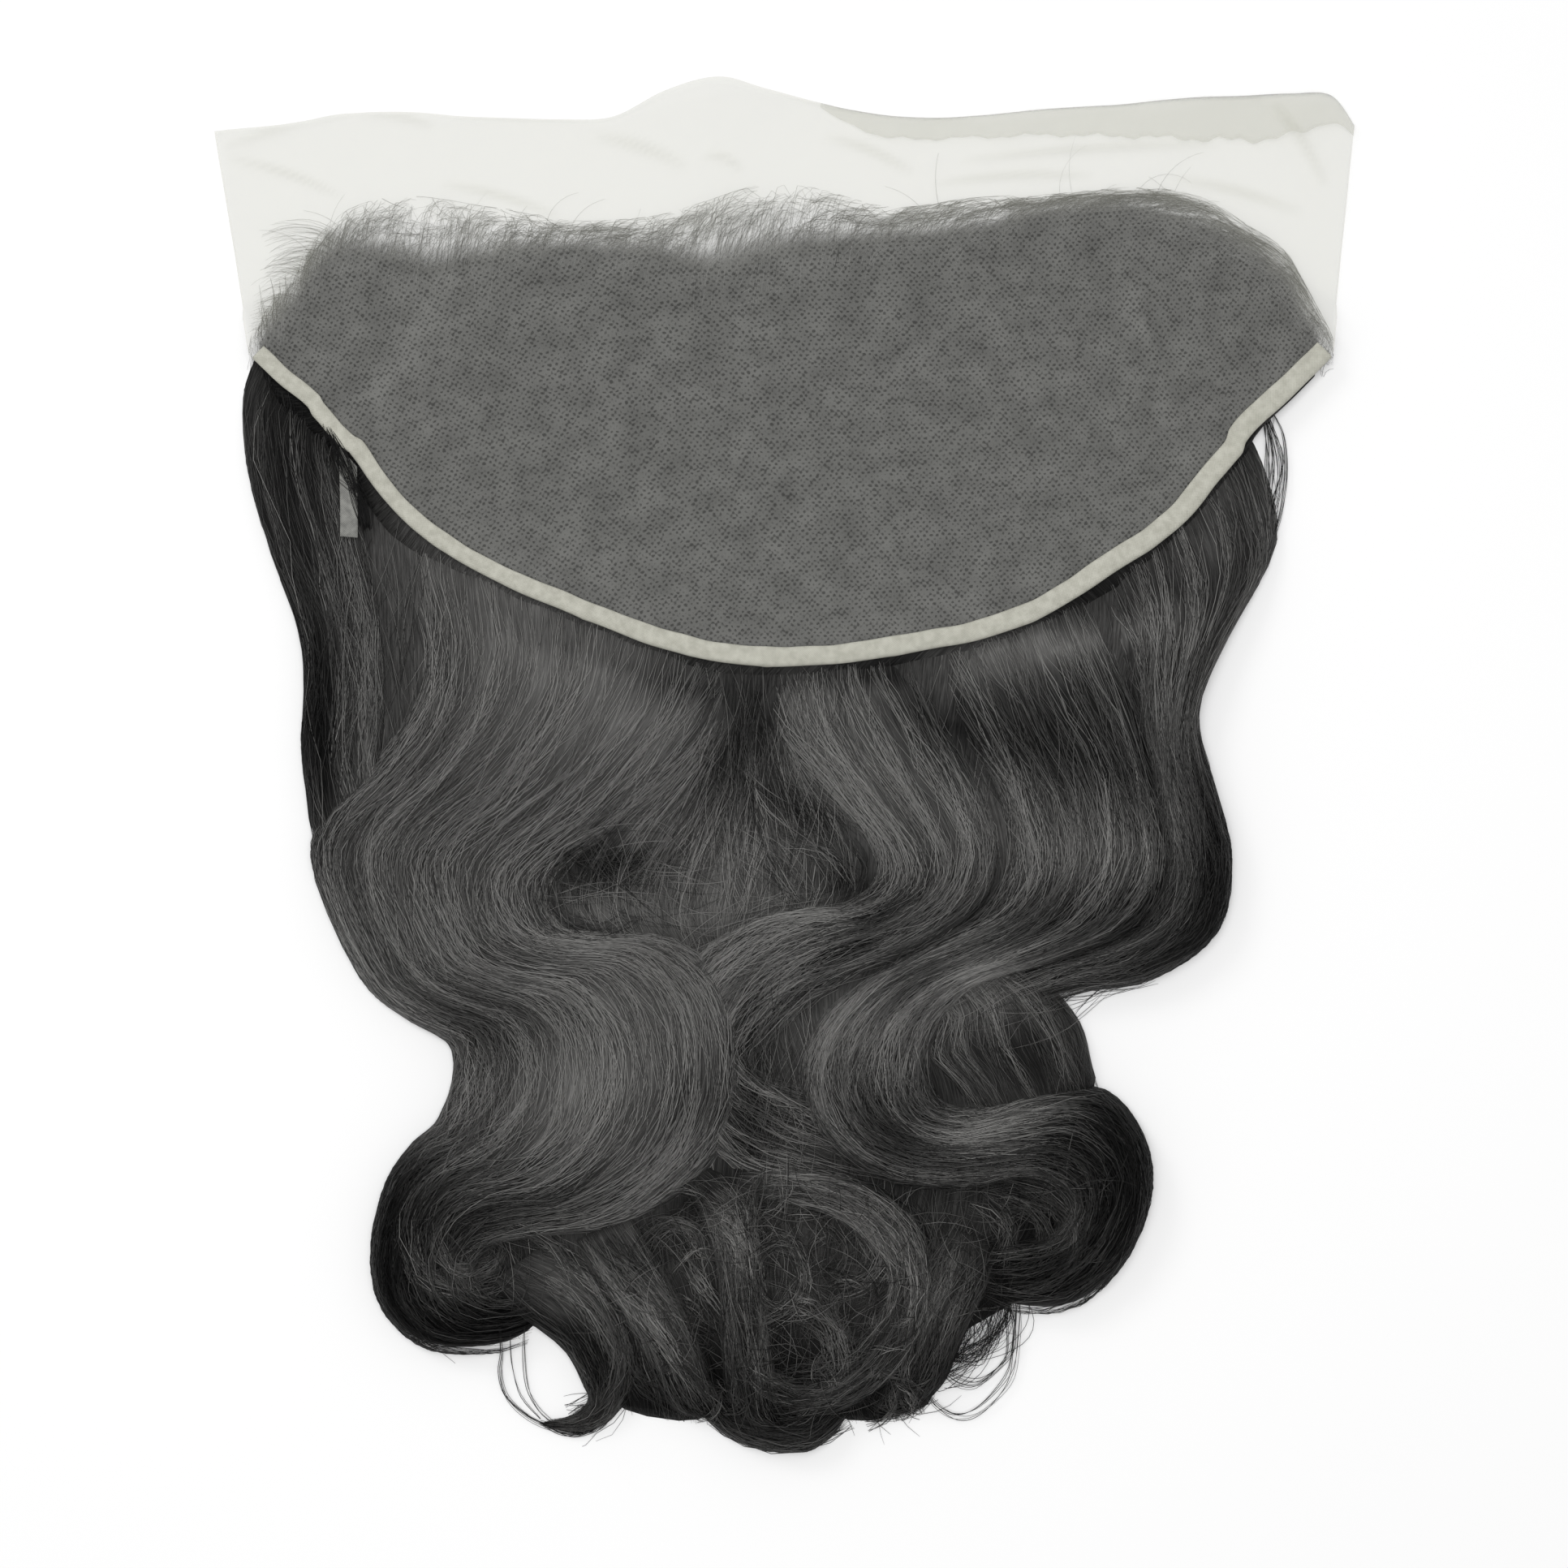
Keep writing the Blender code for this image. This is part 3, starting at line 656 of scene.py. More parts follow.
# Loose end of the tape. It was left long at the left, lies on the hair, and frays where
# it was cut square.

# Sections of the tape end, from the sewn edge down over the hair.
TAPE_END_SECTIONS = (
    # left_x, left_y, right_x, right_y, underside
    (-137.2, 99.3, -131.8, 93, 7.3),
    (-137.2, 91, -131.8, 87, 7.5),
    (-137, 81, -131.6, 80, 7.2),
    (-137, 71.6, -131.6, 71.2, 7.5),
)

TAPE_END_THICK = 0.45

# Threads that have come out of the cut end.
THREAD_RADIUS = 0.12
LOOSE_THREADS = (
    # x, y, height over the hair, at each point
    ((-133, 71.5, 1.2), (-131.5, 65, 1.4), (-129, 56, 1.2), (-126.5, 42, 1.3), (-126, 12, 1)),
    ((-135.5, 71.5, 1.2), (-134.5, 62, 1.5), (-131, 52, 1.3), (-130.5, 45, 1.1)),
    ((-136.5, 71.8, 0.9), (-137.6, 67, 0.9), (-137, 63.5, 0.8)),
)


def make_tape_end(across=6):
    """The loose end of the tape, a strip that is a little cupped."""
    rows = smooth_rows(TAPE_END_SECTIONS, 7)
    share = np.linspace(0, 1, across)[None, :, None]
    left = rows[:, None, 0:2]
    right = rows[:, None, 2:4]
    plan = left + (right - left) * share
    cupped = 0.35 * (2 * share[..., 0] - 1) ** 2 + 0.15 * np.sin(0.4 * plan[..., 1])
    top = rows[:, 4:5] + TAPE_END_THICK + cupped
    bottom = rows[:, 4:5] + cupped
    upper = np.concatenate([plan, top[..., None]], axis=-1)
    lower = np.concatenate([plan, bottom[..., None]], axis=-1)[:, ::-1]
    loops = np.concatenate([upper, lower], axis=1)
    return closed_sweep("tape_end", loops, loops[..., :2])


tape_end = make_tape_end()
tape_end.data.materials.append(woven("loose_tape", (0.17, 0.17, 0.16), (0.30, 0.30, 0.28)))
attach(tape_end, "root")
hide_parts("tape_tail")


def faces_of(obj):
    """The faces of a piece, to find heights on."""
    return BVHTree.FromObject(obj, bpy.context.evaluated_depsgraph_get())


def height_on(faces, x, y, start=100.0, missed=0.0):
    """Height in millimetres where a line down from the start, or up from one below the
    table, meets the faces over a point."""
    line = Vector((0, 0, -math.copysign(1, start)))
    hit = faces.ray_cast(Vector(placed((x, y, start))), line)[0]
    return hit.z / MM if hit else missed


solid_hair = faces_of(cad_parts["hair"])


def strand_mesh(name, strands, material):
    """Thin three sided tubes along paths, joined in one object. strands holds groups of
    (paths, radii, tones), each with an equal number of points to a path."""
    points = []
    quads = []
    triangles = []
    tones = []
    first = 0
    for paths, radii, tone in strands:
        count, length = paths.shape[:2]
        tangent = np.gradient(paths, axis=1)
        tangent /= np.linalg.norm(tangent, axis=2)[..., None] + 1e-9
        side = np.cross(tangent, (0.0, 0.0, 1.0))
        side /= np.linalg.norm(side, axis=2)[..., None] + 1e-9
        up = np.cross(side, tangent)
        rings = []
        for turn in (90, 210, 330):
            out = side * math.cos(math.radians(turn)) + up * math.sin(math.radians(turn))
            rings.append(paths + out * radii[..., None])
        ring_points = np.stack(rings, axis=2)
        points.append(ring_points.reshape(-1, 3))
        tones.append(np.repeat(tone.ravel(), 3))
        start = first + 3 * np.arange(count * length).reshape(count, length)
        here = start[:, :-1].ravel()
        after = start[:, 1:].ravel()
        for k in range(3):
            j = (k + 1) % 3
            quads.append(np.stack([here + k, after + k, after + j, here + j], axis=1))
        triangles.append(start[:, :1] + np.array([0, 1, 2]))
        triangles.append(start[:, -1:] + np.array([2, 1, 0]))
        first += 3 * count * length
    obj = mesh_object(
        name,
        np.vstack(points),
        np.vstack(quads),
        triangles=np.vstack(triangles),
        values={"tone": np.concatenate(tones)},
    )
    obj.data.materials.append(material)
    return obj


def make_loose_threads():
    """Threads of the tape that lie over the hair."""
    groups = []
    for thread in LOOSE_THREADS:
        path = smooth_rows(thread, 7)
        path[:, 2] += [height_on(solid_hair, x, y) for x, y in path[:, :2]]
        radii = np.full((1, len(path)), THREAD_RADIUS)
        groups.append((path[None], radii, np.full((1, len(path)), 1.0)))
    thread_material, _ = new_material("tape_thread", 0.8, (0.22, 0.22, 0.21))
    return strand_mesh("loose_threads", groups, thread_material)


loose_threads = make_loose_threads()
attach(loose_threads, "root")

# Body of the hair. Black hair in loose body waves leaves the net past the tape, in wide
# tresses that lie over and under one another, and narrows to curls at its tips. This is
# the inner mass that the single strands lie on.

# Tresses. Each section crosses the flow from one side, a, to the other, b, with its top.
TRESSES = {
    # name: locks, then a_x, a_y, b_x, b_y, top at each section
    "under_layer": (5, (
        (-138, 96, 130, 90, 3),
        (-134, 56, 130, 46, 6),
        (-132, 0, 122, 2, 6.5),
        (-136, -38, 128, -34, 6.5),
        (-110, -74, 84, -66, 6.5),
        (-100, -98, 90, -96, 6.5),
        (-110, -130, 98, -120, 6.5),
        (-104, -158, 88, -150, 6.5),
        (-66, -180, 58, -176, 6.5),
        (-52, -197.5, 42, -196, 5.5),
    )),
    "left_side": (3, (
        (-163.5, 129, -133, 108, 2.2),
        (-168, 115, -135, 94, 4.2),
        (-166.5, 92, -131, 78, 6.2),
        (-159, 66, -128, 62, 6.6),
        (-151, 44, -125, 44, 7.5),
        (-149, 26, -123.5, 24, 8.5),
        (-150, 8, -124, 2, 9),
        (-148.3, -8, -122, -12, 9),
        (-145.8, -24, -118, -28, 8),
        (-140.5, -37, -116, -37, 6),
    )),
    "centre_pocket": (4, (
        (-20, 24, 0, 24, 5),
        (-36, 0, 8, 2, 8),
        (-56, -16, 22, -18, 9),
        (-70, -32, 26, -32, 10),
        (-70, -46, 22, -46, 9),
        (-52, -60, 8, -60, 8),
    )),
    "left_sweep": (6, (
        (-120, 88, -6, 44, 4.5),
        (-118, 63, -11, 28, 7),
        (-113, 42, -19, 13, 11),
        (-115, 22, -34, -4, 13),
        (-127, 3, -49, -18, 14.5),
        (-142, -12, -61, -26, 15.5),
        (-147, -26, -69, -33, 16),
        (-141, -46, -71, -41, 16),
        (-130, -67, -66, -48, 16),
        (-117, -77.5, -52, -50, 16.5),
        (-105, -84, -34, -51, 17),
        (-103, -89.5, -18, -64, 17),
        (-103, -94.5, -11.5, -84, 17),
        (-104, -99.5, -12.5, -105, 17),
        (-106, -104.5, -25, -126, 17),
        (-109, -110, -49, -141, 16),
        (-116, -116, -75, -144.5, 15),
        (-124, -128, -88, -147, 14),
        (-128.5, -148, -94, -152.5, 13.5),
        (-125.5, -166, -93, -158, 13),
        (-112, -179, -86, -161.5, 12),
        (-92, -181, -79, -161, 10),
        (-80, -178, -72, -158, 8),
    )),
    "left_curl": (2, (
        (-94, -160, -74, -146, 11),
        (-78, -172, -60, -152, 11),
        (-68, -180, -52, -166, 10),
        (-63, -190, -47, -184, 8),
        (-61, -195, -52, -199, 6),
        (-66, -200, -62, -205, 4),
        (-76, -201.5, -74.5, -204, 2),
    )),
    "right_under": (3, (
        (38, -66, 62, -52, 9),
        (46, -78, 79, -64, 10),
        (42, -88, 91, -78, 10),
        (50, -98, 95, -92, 10),
        (56, -108, 98.5, -104, 9),
    )),
    "right_side": (3, (
        (90, 70, 138, 112, 4),
        (97, 50, 147.5, 95, 5.6),
        (102, 33, 152, 70, 9),
        (107, 15, 137, 41, 11),
        (112, -3, 127.5, 18, 12),
        (115, -18, 132.5, -4, 12.5),
        (116, -32, 138, -26, 13),
        (110, -46, 134, -50, 13),
        (96, -54, 114, -65, 12.5),
        (78, -59, 92, -69, 12),
        (60, -66, 76, -74, 10),
    )),
    "right_inner": (3, (
        (-4, 44, 40, 48, 4.5),
        (-8, 27, 44, 29, 7),
        (-3, 9, 54, 9, 11),
        (11, -8, 63, -9, 13),
        (24, -22, 67, -27, 14),
        (27, -33, 61, -42, 14),
        (17, -41, 43, -55, 13),
        (0, -41, 24, -64, 12),
        (-17, -47, 6, -76, 11),
        (-30, -58, -6, -88, 10),
        (-38, -80, -8, -92, 10),
        (-34, -104, -2, -95, 10),
        (-18, -124, 12, -98, 10),
        (6, -131, 28, -106, 9.5),
        (30, -134, 42, -116, 8),
    )),
    "right_middle": (4, (
        (36, 48, 92, 68, 4.5),
        (43, 29, 99, 48, 7),
        (54, 9, 108, 22, 11),
        (64, -9, 117, -4, 13),
        (67, -28, 120, -28, 14),
        (59, -43, 110, -48, 14.5),
        (42, -54, 86, -59, 15),
        (24, -64, 62, -66, 15),
        (9, -78, 49, -77, 15),
        (3, -95, 45, -91, 15),
        (9, -113, 49, -102, 15),
        (28, -127, 62, -104, 15.5),
        (52, -130.5, 80, -99, 16),
        (70, -127, 99, -99, 16),
        (81, -130, 111, -113, 16),
        (84, -137, 113.5, -131, 15),
        (79, -144, 106, -151, 14),
        (68, -146, 91, -166, 12),
        (60, -147, 73, -168.5, 10),
        (52, -148, 60, -164, 6),
    )),
    "bottom_bowl": (2, (
        (-26, -200, -20, -190, 7),
        (-18, -206.5, -12, -196, 9),
        (-6, -210.5, -3, -199, 9.5),
        (6, -211, 6, -198, 9.5),
        (13, -207.5, 12, -194, 9),
        (20.5, -201, 18, -188, 7),
    )),
    "bottom_right": (2, (
        (46, -140, 66, -146, 9),
        (42, -154, 64, -158, 12),
        (36, -170, 56, -173, 12),
        (30, -186, 50, -188, 10),
        (24, -199, 43, -196.5, 7),
    )),
    "bottom_fill_left": (2, (
        (-60, -168, -36, -170, 6),
        (-57, -182, -31, -184, 6),
        (-54, -192, -26, -195, 5),
        (-52, -199, -24, -203, 3),
    )),
    "bottom_fill_right": (2, (
        (10, -172, 50, -168, 6),
        (11, -186, 49, -183, 6),
        (14, -196, 46, -193, 5),
        (18, -203, 42, -199, 3),
    )),
    "bottom_left": (3, (
        (-66, -146, -46, -136, 9),
        (-58, -158, -38, -150, 12),
        (-49, -172, -30, -164, 13),
        (-42, -186, -24, -178, 12),
        (-36, -197, -20, -192, 9),
        (-26, -202, -17, -198, 5),
    )),
    "centre_left": (2, (
        (-34, -128, -22, -122, 8),
        (-27, -139, -9, -132, 12),
        (-22, -152, -5, -150, 13),
        (-21, -168, -4, -168, 12),
        (-20, -184, -3, -184, 11),
        (-17, -200, 2, -198, 10),
        (-8, -211, 10, -205, 6),
    )),
    "centre_ring": (3, (
        (-16, -122, -14, -132, 9),
        (2, -122, 0, -134, 12),
        (22, -125, 14, -138, 14),
        (38, -134, 24, -146, 14),
        (46, -150, 30, -155, 14),
        (46, -168, 29, -166, 13.5),
        (37, -185, 22, -175, 13),
        (21, -197, 12, -181, 12),
        (3, -202, 2, -184, 11),
        (-12, -200, -6, -184, 9),
    )),
}

FURROW = 0.10
MASS_BELOW = 0.7
TIP_SHARE = 0.16
BED_OUTSIDE = 8.0
BED_ROWS = 40
BED_TRIES = 240
THINNEST_COVER = 0.25


def tress_top(across, locks):
    """Height over a tress as a share of its top: a low dome, furrowed between its locks."""
    inside = np.clip(across, 0, 1)
    dome = np.sqrt(np.maximum(1 - np.abs(2 * inside - 1) ** 4, 0))
    return dome * (1 - FURROW * 0.5 * (1 + np.cos(2 * math.pi * locks * inside)))


def tress_shell(tress, steps=4, per_lock=6):
    """Points, faces and flow coordinates of a tress as a closed body."""
    locks, sections = tress
    rows = smooth_rows(sections, steps)
    across = np.linspace(0, 1, locks * per_lock + 1)
    a = rows[:, None, 0:2]
    b = rows[:, None, 2:4]
    plan = a + (b - a) * across[None, :, None]
    left = 1 - np.linspace(0, 1, len(rows))
    tip = np.sqrt(np.clip(left / TIP_SHARE, 0, 1))[:, None]
    height = tip * rows[:, 4:5] * tress_top(across, locks)[None, :] - MASS_BELOW
    middle_of = (a + b) / 2
    plan = middle_of + (plan - middle_of) * (0.35 + 0.65 * tip[..., None])
    top = np.concatenate([plan, np.maximum(height, 0.05)[..., None]], axis=-1)
    bottom = np.concatenate([plan[:, [-1, 0]], np.full((len(rows), 2, 1), 0.02)], axis=-1)
    loops = np.concatenate([top, bottom], axis=1)
    width = np.linalg.norm(rows[:, 2:4] - rows[:, 0:2], axis=1)
    middle = (rows[:, 0:2] + rows[:, 2:4]) / 2
    step = np.linalg.norm(np.diff(middle, axis=0), axis=1)
    along = np.concatenate([[0], np.cumsum(step)])
    flow_across = np.concatenate([across, [1.0, 0.0]])[None, :] * width.mean()
    uv = np.stack(np.broadcast_arrays(flow_across, along[:, None]), axis=-1)
    return loops, uv


def bed_shell(steps=4):
    """The tied hair under the net, thinning out at the hairline, as a closed body."""
    columns = net_columns(steps)
    place = np.linspace(0, 1, len(columns["length"]))[2:-2]
    shares = np.linspace(0, 1, BED_TRIES)
    tried = on_columns(columns, place[:, None], columns["length"][2:-2, None] * shares)
    left = over_hair(tried[..., 0], tried[..., 1])
    reach = np.maximum(shares[np.argmax(left < THINNEST_COVER, axis=1)], 0.03) * columns["length"][2:-2]
    distance = reach[:, None] * np.linspace(0, 1, BED_ROWS)[None, :]
    top = on_columns(columns, place[:, None], distance)
    ends = np.clip(np.minimum(place, 1 - place) * 22, 0, 1)[:, None]
    top[..., 2] = (top[..., 2] - 1.0 - 1.2 * np.clip(1 - distance / 9.0, 0, 1)) * ends
    right_end = np.clip((146.0 - columns["back"][2:-2, 0]) / 8.0, 0.02, 1)[:, None]
    outside = np.array([-BED_OUTSIDE, -BED_OUTSIDE / 3.0])[None, :] * ends * right_end
    past = on_columns(columns, place[:, None], outside)
    edge = columns["edge_height"][2:-2, None] - 3.0
    past[..., 2] = edge * np.array([0.4, 0.85])[None, :] * ends
    top = np.concatenate([past, top], axis=1)
    top[..., 2] = np.maximum(top[..., 2], 0.1)
    bottom = top[:, [-1, 0]].copy()
    bottom[..., 2] = 0.02
    loops = np.concatenate([top, bottom], axis=1)
    x = loops[..., 0]
    y = loops[..., 1]
    lean = np.radians(np.interp(x, (-160, -120, 60, 150), (-60, -40, -45, -100)))
    flow = np.stack([x * np.cos(lean) + y * np.sin(lean), y * np.cos(lean) - x * np.sin(lean)], -1)
    return loops, flow


def joined_shells(name, shells, material):
    """Closed bodies in one object, each with its loops, flow and shift of tone; their tone carries the
    painted highlights and painted shade of their places.
    """
    points = []
    quads = []
    triangles = []
    flows = []
    tones = []
    first = 0
    for loops, uv, shift in shells:
        rows, around = loops.shape[:2]
        sides, caps = shell_faces(rows, around, first)
        points.append(loops.reshape(-1, 3))
        quads.append(sides)
        triangles.append(caps)
        flows.append(uv.reshape(-1, 2))
        tones.append((painted_light(loops[..., 0], loops[..., 1]) + shift).ravel())
        first += rows * around
    points = np.vstack(points)
    cover = over_hair(points[:, 0], points[:, 1])
    values = {"tone": np.concatenate(tones), "cover": cover}
    faces = (np.vstack(quads), np.vstack(triangles))
    obj = mesh_object(name, points, *faces, np.vstack(flows), values)
    obj.data.materials.append(material)
    face_outwards(obj)
    return obj


# Painted light: places where the hair's tone is raised as a painted highlight, and places where it is
# lowered as painted shade.
PAINTED_LIGHT_PLACES = (
    # x, y, half_x, half_y, turn, tone
    (-53, -84, 32, 34, 0, 0.25),
    (-124, -36, 15, 34, 20, 0.12),
    (-80, 20, 34, 30, 15, 0.14),
    (-60, -100, 26, 8, 25, 0.10),
    (22, 2, 13, 30, 25, 0.26),
    (77, 36, 36, 5.5, 12, 0.62),
    (60, -68, 12, 9, 0, 0.40),
    (66, -109, 20, 5, 22, 0.45),
    (90, -26, 14, 9, 0, 0.20),
    (60, -22, 8, 18, -10, 0.12),
    (-5, -44, 34, 6, 0, 0.14),
    (-10, -60, 18, 10, 40, 0.14),
    (-16, -28, 18, 14, 0, 0.30),
    (-56, -44, 16, 6, 0, 0.14),
    (133, 76, 5, 18, 0, 0.08),
    (24, -82, 12, 14, 30, 0.10),
    (-66, -160, 7, 10, 30, 0.20),
    (134, -34, 10, 34, 0, -0.68),
    (114, -58, 28, 6, 15, -0.40),
    (-152, 98, 13, 28, 10, -0.30),
    (-147, 12, 8, 26, 0, -0.70),
    (-84, 44, 52, 13, -33, 0.26),
    (-46, 10, 22, 12, 0, 0.14),
    (-14, 8, 6, 16, -25, -0.36),
    (-6, 12, 4, 12, 15, -0.20),
    (4, -13, 11, 4, -30, -0.50),
    (17, -34, 8, 4, -20, -0.30),
    (-54, -30, 13, 5, 10, -0.45),
    (-62, -22, 12, 5, 40, -0.20),
    (86, 6, 34, 9, -15, -0.28),
    (44, 20, 22, 7, -40, -0.16),
    (16, -58, 26, 5, 40, -0.40),
    (-124, -144, 8, 32, 0, -0.60),
    (-92, -176, 30, 9, -5, -0.62),
    (-93, -140, 22, 10, 30, -0.26),
    (108, -130, 9, 32, 0, -0.80),
    (82, -152, 18, 18, 0, -0.45),
    (88, -128, 14, 8, 0, -0.20),
    (-2, -184, 64, 24, 0, -0.16),
    (-11, -98, 5, 42, 0, -0.34),
    (34, -112, 12, 18, 0, -0.34),
    (72, -88, 16, 9, 0, -0.22),
    (-24, -129, 20, 5, 45, -0.50),
    (40, 30, 50, 3, 5, -0.30),
    (-60, 36, 50, 3, -20, -0.16),
    (-88, -60, 40, 6, -30, -0.10),
    (64, -8, 16, 10, 0, 0.12),
    (104, 36, 32, 18, -40, -0.16),
    (70, -46, 46, 8, 0, -0.16),
    (12, -74, 20, 14, 0, 0.15),
    (-96, -76, 18, 8, -25, -0.12),
    (-24, -108, 8, 20, 25, -0.18),
    (92, -108, 18, 12, 0, -0.22),
    (50, -120, 16, 8, 0, -0.12),
    (-110, -132, 16, 20, 0, -0.20),
    (-8, -122, 16, 8, -25, 0.20),
    (-2, -200, 60, 13, 0, -0.22),
    (-39, -189, 16, 10, 0, -0.14),
    (-100, -173, 14, 10, 0, -0.16),
    (-115, -148, 10, 14, 0, -0.15),
    (-152, 70, 8, 18, 0, -0.12),
    (-58, -18, 16, 8, 0, 0.14),
    (-103, -49, 13, 9, 0, 0.17),
    (-67, -93, 12, 9, 0, 0.14),
    (-20, -127, 12, 10, 0, 0.17),
    (2, 21, 11, 9, 0, 0.16),
    (101, 34, 9, 8, 0, 0.14),
    (-52, 34, 9, 6, 0, 0.12),
    (-102, 21, 12, 8, 0, 0.12),
    (84, -50, 40, 8, 0, -0.11),
    (45, -64, 14, 7, 0, -0.24),
    (152, 92, 4, 16, 0, 0.60),
    (108, -42, 16, 10, 0, -0.13),
    (-96, -82, 18, 10, 0, -0.13),
    (-40, -105, 18, 6, 0, -0.09),
    (92, -106, 18, 8, 0, -0.14),
    (66, -119, 26, 8, 0, -0.12),
    (-116, -132, 10, 20, 0, -0.14),
    (-67, -133, 9, 8, 0, -0.13),
    (87, -161, 8, 8, 0, -0.22),
    (48, -182, 16, 9, 0, -0.20),
    (10, -196, 50, 10, 0, -0.12),
    (-97, -175, 9, 8, 0, -0.12),
    (132, 52, 8, 10, 0, -0.18),
    (144, 72, 5, 24, 0, -0.13),
    (88, 21, 10, 7, 0, -0.11),
    (-8, 21, 9, 8, 0, 0.10),
    (4, -10, 9, 14, 0, 0.12),
    (-80, -35, 9, 8, 0, 0.11),
    (-18, -126, 12, 10, 30, 0.12),
    (106, -106, 12, 8, 0, -0.15),
)


def painted_light(x, y):
    """Painted highlight and painted shade that the place of the hair adds to its tone."""
    total = np.zeros_like(x)
    for middle_x, middle_y, half_x, half_y, turn, tone in PAINTED_LIGHT_PLACES:
        angle = math.radians(turn)
        away_x = ((x - middle_x) * math.cos(angle) + (y - middle_y) * math.sin(angle)) / half_x
        away_y = ((y - middle_y) * math.cos(angle) - (x - middle_x) * math.sin(angle)) / half_y
        total += tone * np.exp(-0.7 * (away_x**2 + away_y**2))
    return total


# The tones that hair takes, from the shade between locks to the strands that catch light.
hair_tones, tones_in, tones_out = new_group("hair_tones", [("Tone", FLOAT)], [("Colour", COLOUR)])
tone_ramp = add_node(hair_tones, "ShaderNodeValToRGB")
tone_ramp.color_ramp.elements[0].color = (0.002, 0.002, 0.002, 1.0)
tone_ramp.color_ramp.elements[1].color = (0.300, 0.296, 0.286, 1.0)
for tone_place, tone_value in ((0.25, 0.018), (0.5, 0.058), (0.75, 0.125)):
    tone_between = tone_ramp.color_ramp.elements.new(tone_place)
    tone_between.color = (tone_value, 0.985 * tone_value, 0.955 * tone_value, 1.0)
link(hair_tones, tones_in, "Tone", tone_ramp, "Fac")
link(hair_tones, tone_ramp, "Color", tones_out, "Colour")

mass_material, mass_shader = new_material("hair_mass", 0.55, (0.01, 0.01, 0.01))
mass_shader.inputs["Specular IOR Level"].default_value = 0.1
mass_tree = mass_material.node_tree
mass_uv = add_node(mass_tree, "ShaderNodeUVMap", uv_map="UVMap")
mass_stretch = add_node(mass_tree, "ShaderNodeMapping", in_3=(2.4, 0.08, 1.0))
mass_noise = add_node(mass_tree, "ShaderNodeTexNoise", in_2=1.0, in_3=5.0, in_4=0.7)
mass_streaks = add_node(mass_tree, "ShaderNodeMapRange", in_1=0.3, in_2=0.72, in_3=0.05, in_4=0.55)
# The tone attribute holds painted highlights and painted shade, added to the streaks.
mass_painted_light = add_node(mass_tree, "ShaderNodeAttribute", attribute_name="tone")
mass_tone = add_node(mass_tree, "ShaderNodeMath", operation="ADD", use_clamp=True)
mass_group = add_node(mass_tree, "ShaderNodeGroup", node_tree=hair_tones)
mass_cover = add_node(mass_tree, "ShaderNodeAttribute", attribute_name="cover")
mass_thinned = add_node(mass_tree, "ShaderNodeMath", operation="MULTIPLY_ADD", in_1=3.0)
mass_alpha = add_node(mass_tree, "ShaderNodeMapRange", in_1=2.1, in_2=3.35, in_3=0.0, in_4=1.0)
mass_bump = add_node(mass_tree, "ShaderNodeBump", in_0=0.8, in_1=0.0008)
link(mass_tree, mass_cover, "Fac", mass_thinned, 0)
link(mass_tree, mass_noise, "Fac", mass_thinned, 2)
link(mass_tree, mass_thinned, 0, mass_alpha, 0)
link(mass_tree, mass_alpha, 0, mass_shader, "Alpha")
link(mass_tree, mass_uv, "UV", mass_stretch, 0)
link(mass_tree, mass_stretch, 0, mass_noise, "Vector")
link(mass_tree, mass_noise, "Fac", mass_streaks, 0)
link(mass_tree, mass_streaks, 0, mass_tone, 0)
link(mass_tree, mass_painted_light, "Fac", mass_tone, 1)
link(mass_tree, mass_tone, 0, mass_group, "Tone")
link(mass_tree, mass_group, "Colour", mass_shader, "Base Color")
link(mass_tree, mass_noise, "Fac", mass_bump, "Height")
link(mass_tree, mass_bump, "Normal", mass_shader, "Normal")

bed_loops, bed_flow = bed_shell()
# Painted shade: the tied hair is made darker from the tape forwards, where it lies under the net.
bed_painted_shade = -0.32 * np.clip((np.arange(bed_loops.shape[1]) - 2) / 4.0, 0, 1)
shells = [(bed_loops, bed_flow, bed_painted_shade)]
shells += [(*tress_shell(tress), 0.1) for tress in TRESSES.values()]
hair_mass = joined_shells("hair_mass", shells, mass_material)
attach(hair_mass, "root")
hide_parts("hair")

# Strands of the tresses. Hair gathers in fine locks that wander, cross and catch the
# light one by one, so each tress is combed with strands in locks of a few millimetres.

strand_material, strand_shader = new_material("black_hair", 0.42, (0.02, 0.02, 0.019))
strand_shader.inputs["Specular IOR Level"].default_value = 0.14
strand_tree = strand_material.node_tree
# The tone attribute holds each strand's own tone with painted highlights and painted shade added.
strand_tone = add_node(strand_tree, "ShaderNodeAttribute", attribute_name="tone")
strand_group = add_node(strand_tree, "ShaderNodeGroup", node_tree=hair_tones)
link(strand_tree, strand_tone, "Fac", strand_group, "Tone")
link(strand_tree, strand_group, "Colour", strand_shader, "Base Color")

STRAND_RADIUS = 0.115
LOCK_WIDTH = 3.0
SEGMENT = 11.0
BEND_COST = 14.0

# Some strands run all along their tress, and others only part of it.
STRAND_REACHES = (
    # share of the length, share of the strands
    (1.0, 0.3),
    (0.5, 0.35),
    (0.22, 0.35),
)


def waves(chance, count, along, lengths, height):
    """A slow random wander for each of count lines, over lengths along them."""
    total = np.zeros((count, along.shape[-1]))
    for length in lengths:
        phase = chance.uniform(0, 2 * math.pi, (count, 1))
        stretch = chance.uniform(0.75, 1.3, (count, 1))
        share = chance.uniform(0.4, 1.0, (count, 1))
        total += share * np.sin(2 * math.pi * along / (length * stretch) + phase)
    return total * height / len(lengths)


